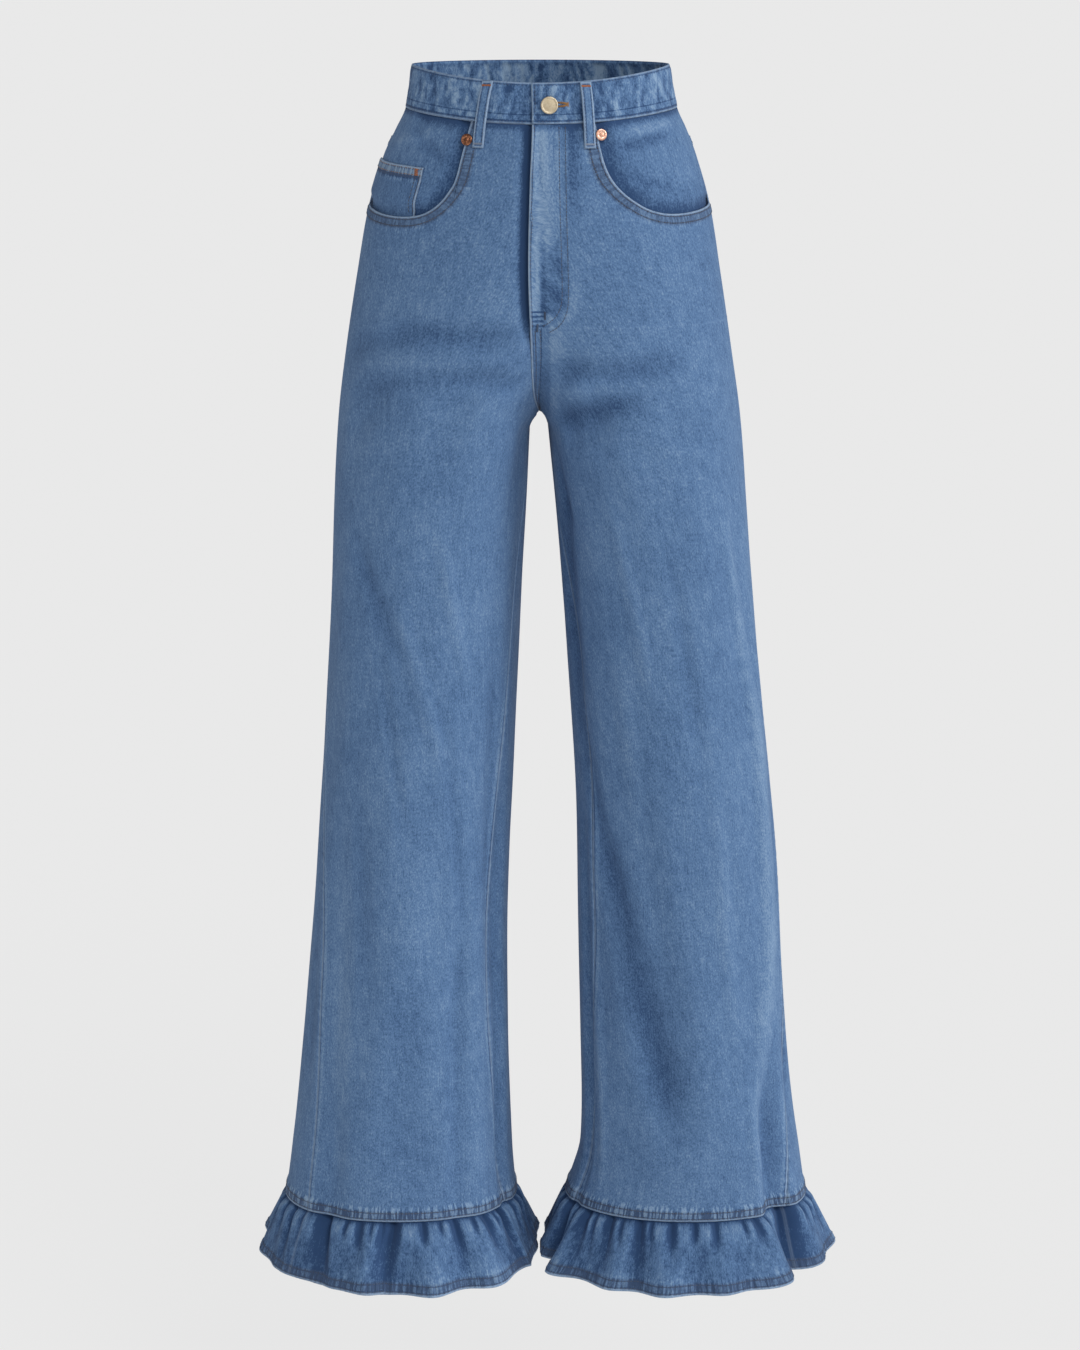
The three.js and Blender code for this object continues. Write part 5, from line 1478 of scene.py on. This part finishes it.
# Topstitching on the cloth.
def rows_of_stitches():
    for side in SIGN:
        scoop = SCOOPS[side]
        degrees = np.linspace(1, scoop["angle"][-1] - 0.4, 120)
        line = np.stack([degrees * FLAT, front_top(side, np.radians(degrees))], -1)
        step = np.gradient(line, axis=0)
        step /= np.linalg.norm(step, axis=1, keepdims=True)
        off = np.stack([step[:, 1], -step[:, 0]], -1)
        for d in (2.2, 8.0):
            moved = line + off * d
            keep = moved[:, 1] < -26
            stitch_on("stitches_front", side, np.radians(moved[keep, 0] / FLAT), moved[keep, 1], 0.4, radius=0.42)
        # The felled seam of the ruffle.
        for d in (2.3, 8.2):
            z = LEG_SEAM + d
            start, end = float(back_end(side, np.float64(z))), float(front_end(side, np.float64(z)))
            angle = np.linspace(start + 0.01, end - 0.01, 500)
            stitch_on("stitches_hems", side, angle, z, 0.35, radius=0.4)
        # Yoke seams and back pockets.
        for d in (2.2, 7.6):
            share = np.linspace(0.01, 0.99, 80)
            z = yoke_seam(share) + d
            angle = np.array([back_grid(side, np.full((1, 80), h))[0, i] for i, h in enumerate(z)])
            stitch_on("stitches_back", side, angle, z, 0.55)
        for d in (1.8, 7.4):
            for end in (-1, 1):
                row = np.linspace(d / BACK_POCKET["height"], 1 - d / BACK_POCKET["height"], 60)
                z, offset = pocket_outline(row, np.full(60, float(end)))
                offset = offset - end * d
                stitch_on("stitches_back", side, pocket_place(side, z, offset), z, PATCH + 2 * GAP)
            col = np.linspace(-1, 1, 60)
            z, offset = pocket_outline(np.ones(60), col)
            offset = offset * (1 - d / 55)
            stitch_on("stitches_back", side, pocket_place(side, z + d, offset), z + d, PATCH + 2 * GAP)
        for d in (2.0, 10.0):
            offset = np.linspace(-1, 1, 50) * (BACK_POCKET["width"] / 2 - 1)
            z = np.full(50, BACK_POCKET["top"] - d)
            stitch_on("stitches_back", side, pocket_place(side, z, offset), z, PATCH + 2 * GAP + 0.3)
    # Fly: along its edge, the double J, and the felled seams of the crotch and seat.
    z = np.linspace(-25, -199, 120)
    edge = front_end("left", z)
    stitch_on("stitches_front", "left", edge - 2.1 / pace("left", edge, z), z, 1.4, radius=0.32)
    j_x = curve(J_LINE["z"], J_LINE["x"])
    for d in (0, 5.5):
        z = np.concatenate([np.linspace(-25, -172, 60), np.linspace(-175, -198.5, 30)])
        x = j_x(z) + d
        z = z - d * smooth(-z, 142, 198)
        stitch_on("stitches_front", "left", angle_at_x("left", z, x), z, 0.6, radius=0.32)
    for d in (FELL["first"], FELL["second"]):
        z = np.linspace(-202, -282, 54)
        angle, off = front_end("left", z), d * (1 - 0.5 * smooth(-z, 236, 287))
        stitch_on("stitches_front", "left", angle - off / pace("left", angle, z), z, 0.55, radius=0.36)
    for d in (1.8, 6.2):
        z = np.linspace(BAND_SEAM - 3, CROTCH + 4, 140)
        angle = back_end("left", z)
        stitch_on("stitches_back", "left", angle + d / pace("left", angle, z), z, 0.55)
    # Coin pocket.
    angle, z = coin_grid(12, 40)
    lift = PATCH + GAP + 0.2
    for d in (1.8, 7.0):
        row = z[0] - d
        stitch_on("stitches_coin", "right", angle[0], row, facing_lift("right", angle[0], row) + lift, radius=0.5)
    rows = np.linspace(coin_top("right", COIN_SHARE), -101, 30)
    for d in (1.8, 6.4):
        a = np.full(30, angle[0, -1] - d / 120)
        stitch_on("stitches_front", "right", a, rows, facing_lift("right", a, rows) + lift, radius=0.4)


def tacks():
    """Bartacks of the pockets and the fly."""
    def at(side, angle, z, lift, along_z, width, height, group):
        a, h = np.array([angle]), np.array([float(z)])
        p, n = surface(side, a, h)[0], normal(side, a, h)[0]
        up = np.array([0, 0, 1.0]) - n * n[2]
        up /= np.linalg.norm(up)
        side_way = np.cross(n, up)
        along, across = (up, side_way) if along_z else (side_way, up)
        bartack(group, p + n * lift, along, across, n, width, height)

    corner = math.radians(SCOOPS["right"]["angle"][-1] * COIN_SHARE)
    top = float(coin_top("right", COIN_SHARE))
    lift = float(facing_lift("right", np.array([corner]), np.array([top - 4]))[0]) + PATCH + GAP + 0.5
    at("right", corner - 0.052, top - 4.2, lift, True, 5.6, 4.2, "bartacks_rust")
    for z, x in ((-189, 4.5), (-200, -2.5)):
        angle = float(angle_at_x("left", np.float64(z), np.float64(x)))
        at("left", angle, z, 0.8, True, 6.5, 1.8, "bartacks_dark")
    for side in SIGN:
        for end in (-1, 1):
            z = np.array([BACK_POCKET["top"] - 4.5])
            offset = np.array([end * (BACK_POCKET["width"] / 2 - 3.0)])
            at(side, float(pocket_place(side, z, offset)[0]), z[0], PATCH + 1.0, True, 7.0, 2.0, "bartacks_rust")


# Everything is made, then set on the frame.
cloth = {}
for side in ("right", "left"):
    cloth[f"front_panel_{side}"] = front_panel(side)
    cloth[f"back_panel_{side}"] = back_panel(side)
    cloth[f"back_yoke_{side}"] = yoke(side)
    cloth[f"pocket_facing_{side}"] = facing(side)
    cloth[f"back_pocket_{side}"] = back_pocket(side)
    cloth[f"hem_ruffle_{side}"] = ruffle(side)
cloth["coin_pocket"] = coin_pocket()
cloth["waistband"] = waistband()
for name in LOOPS:
    cloth["belt_loop_" + name] = belt_loop(name)
metalwork()
buttonhole()
rows_of_stitches()
tacks()
THREADS = {
    "stitches_waist": "thread_blue", "stitches_loops": "thread_blue", "stitches_hems": "thread_grey",
    "stitches_front": "thread_grey", "stitches_back": "thread_grey", "stitches_coin": "thread_brown",
    "bartacks_rust": "thread_rust", "bartacks_blue": "thread_pale", "bartacks_dark": "thread_blue", "buttonhole": "thread_ochre",
}
for group, material in THREADS.items():
    finish_threads(group, material)

# Cuts: width and length in metres, and the flat area where the cut isn't a rectangle.
CUTS = {
    "front_panel": (0.29, 1.05, 0.245),
    "back_panel": (0.40, 1.03, 0.33),
    "back_yoke": (0.20, 0.075, 0.0115),
    "pocket_facing": (0.135, 0.11, 0.0128),
    "back_pocket": (0.12, 0.145, 0.0155),
    "hem_ruffle": (0.93, 0.078, None),
    "coin_pocket": (0.095, 0.06, 0.0048),
    "waistband": (0.74, 0.04, None),
    "belt_loop": (0.0115, 0.064, None),
}
for node, piece in cloth.items():
    kind = next(key for key in CUTS if node.startswith(key))
    width, length, area = CUTS[kind]
    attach(piece, "root")
    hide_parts(node)
for name, node, slot in (
    ("button", "waist_button", "button_metal"),
    ("rivet_right_head", "rivet_right", "rivet_metal"),
    ("rivet_left_head", "rivet_left", "rivet_metal"),
):
    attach(pieces[name], "root")
    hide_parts(node)
for group in THREADS:
    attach(pieces[group], "root")

# Studio: a pale floor without an end, soft light from all round and a broad one from the front.
FLOOR = -1420
mesh = bpy.data.meshes.new("floor")
size = 90000.0
mesh.from_pydata([(x * size / 1000, y * size / 1000, FLOOR / 1000) for x, y in ((-1, -1), (1, -1), (1, 1), (-1, 1))], [], [(0, 1, 2, 3)])
floor_look = Nodes("pale_floor")
floor_look.shader.inputs["Base Color"].default_value = (0.1, 0.1, 0.1, 1)
floor_look.shader.inputs["Roughness"].default_value = 1
floor_look.shader.inputs["Specular IOR Level"].default_value = 0
floor_look.shader.inputs["Emission Color"].default_value = (1, 1, 1, 1)
floor_look.shader.inputs["Emission Strength"].default_value = 0.745
mesh.materials.append(floor_look.material)
floor = bpy.data.objects.new("floor", mesh)
bpy.context.scene.collection.objects.link(floor)


def sun(name, azimuth, elevation, strength, angle, tint=(1, 1, 1)):
    data = bpy.data.lights.new(name, "SUN")
    data.energy = strength
    data.angle = math.radians(angle)
    data.color = tint
    lamp = bpy.data.objects.new(name, data)
    bpy.context.scene.collection.objects.link(lamp)
    lamp.rotation_euler = (math.radians(90 - elevation), 0, math.radians(azimuth))


sun("key", 24, 36, 1.15, 22)
sun("rim", 76, 18, 1.6, 26)
sun("fill", -40, 14, 0.3, 60)
world = bpy.data.worlds.new("studio")
world.use_nodes = True
world.node_tree.nodes["Background"].inputs["Color"].default_value = (1, 1, 1, 1)
world.node_tree.nodes["Background"].inputs["Strength"].default_value = 0.29
bpy.context.scene.world = world
bpy.context.scene.view_settings.view_transform = "Standard"

# Camera, solved from the photograph: 3 m away at the height of a chest, looking 12.85 degrees down.
data = bpy.data.cameras.new("camera")
data.lens = 88.27
data.sensor_width = 36
data.clip_end = 500
camera = bpy.data.objects.new("camera", data)
bpy.context.scene.collection.objects.link(camera)
camera.location = (0, -3.0, 0.15)
camera.rotation_euler = (math.radians(90 - 12.85), 0, 0)
bpy.context.scene.camera = camera
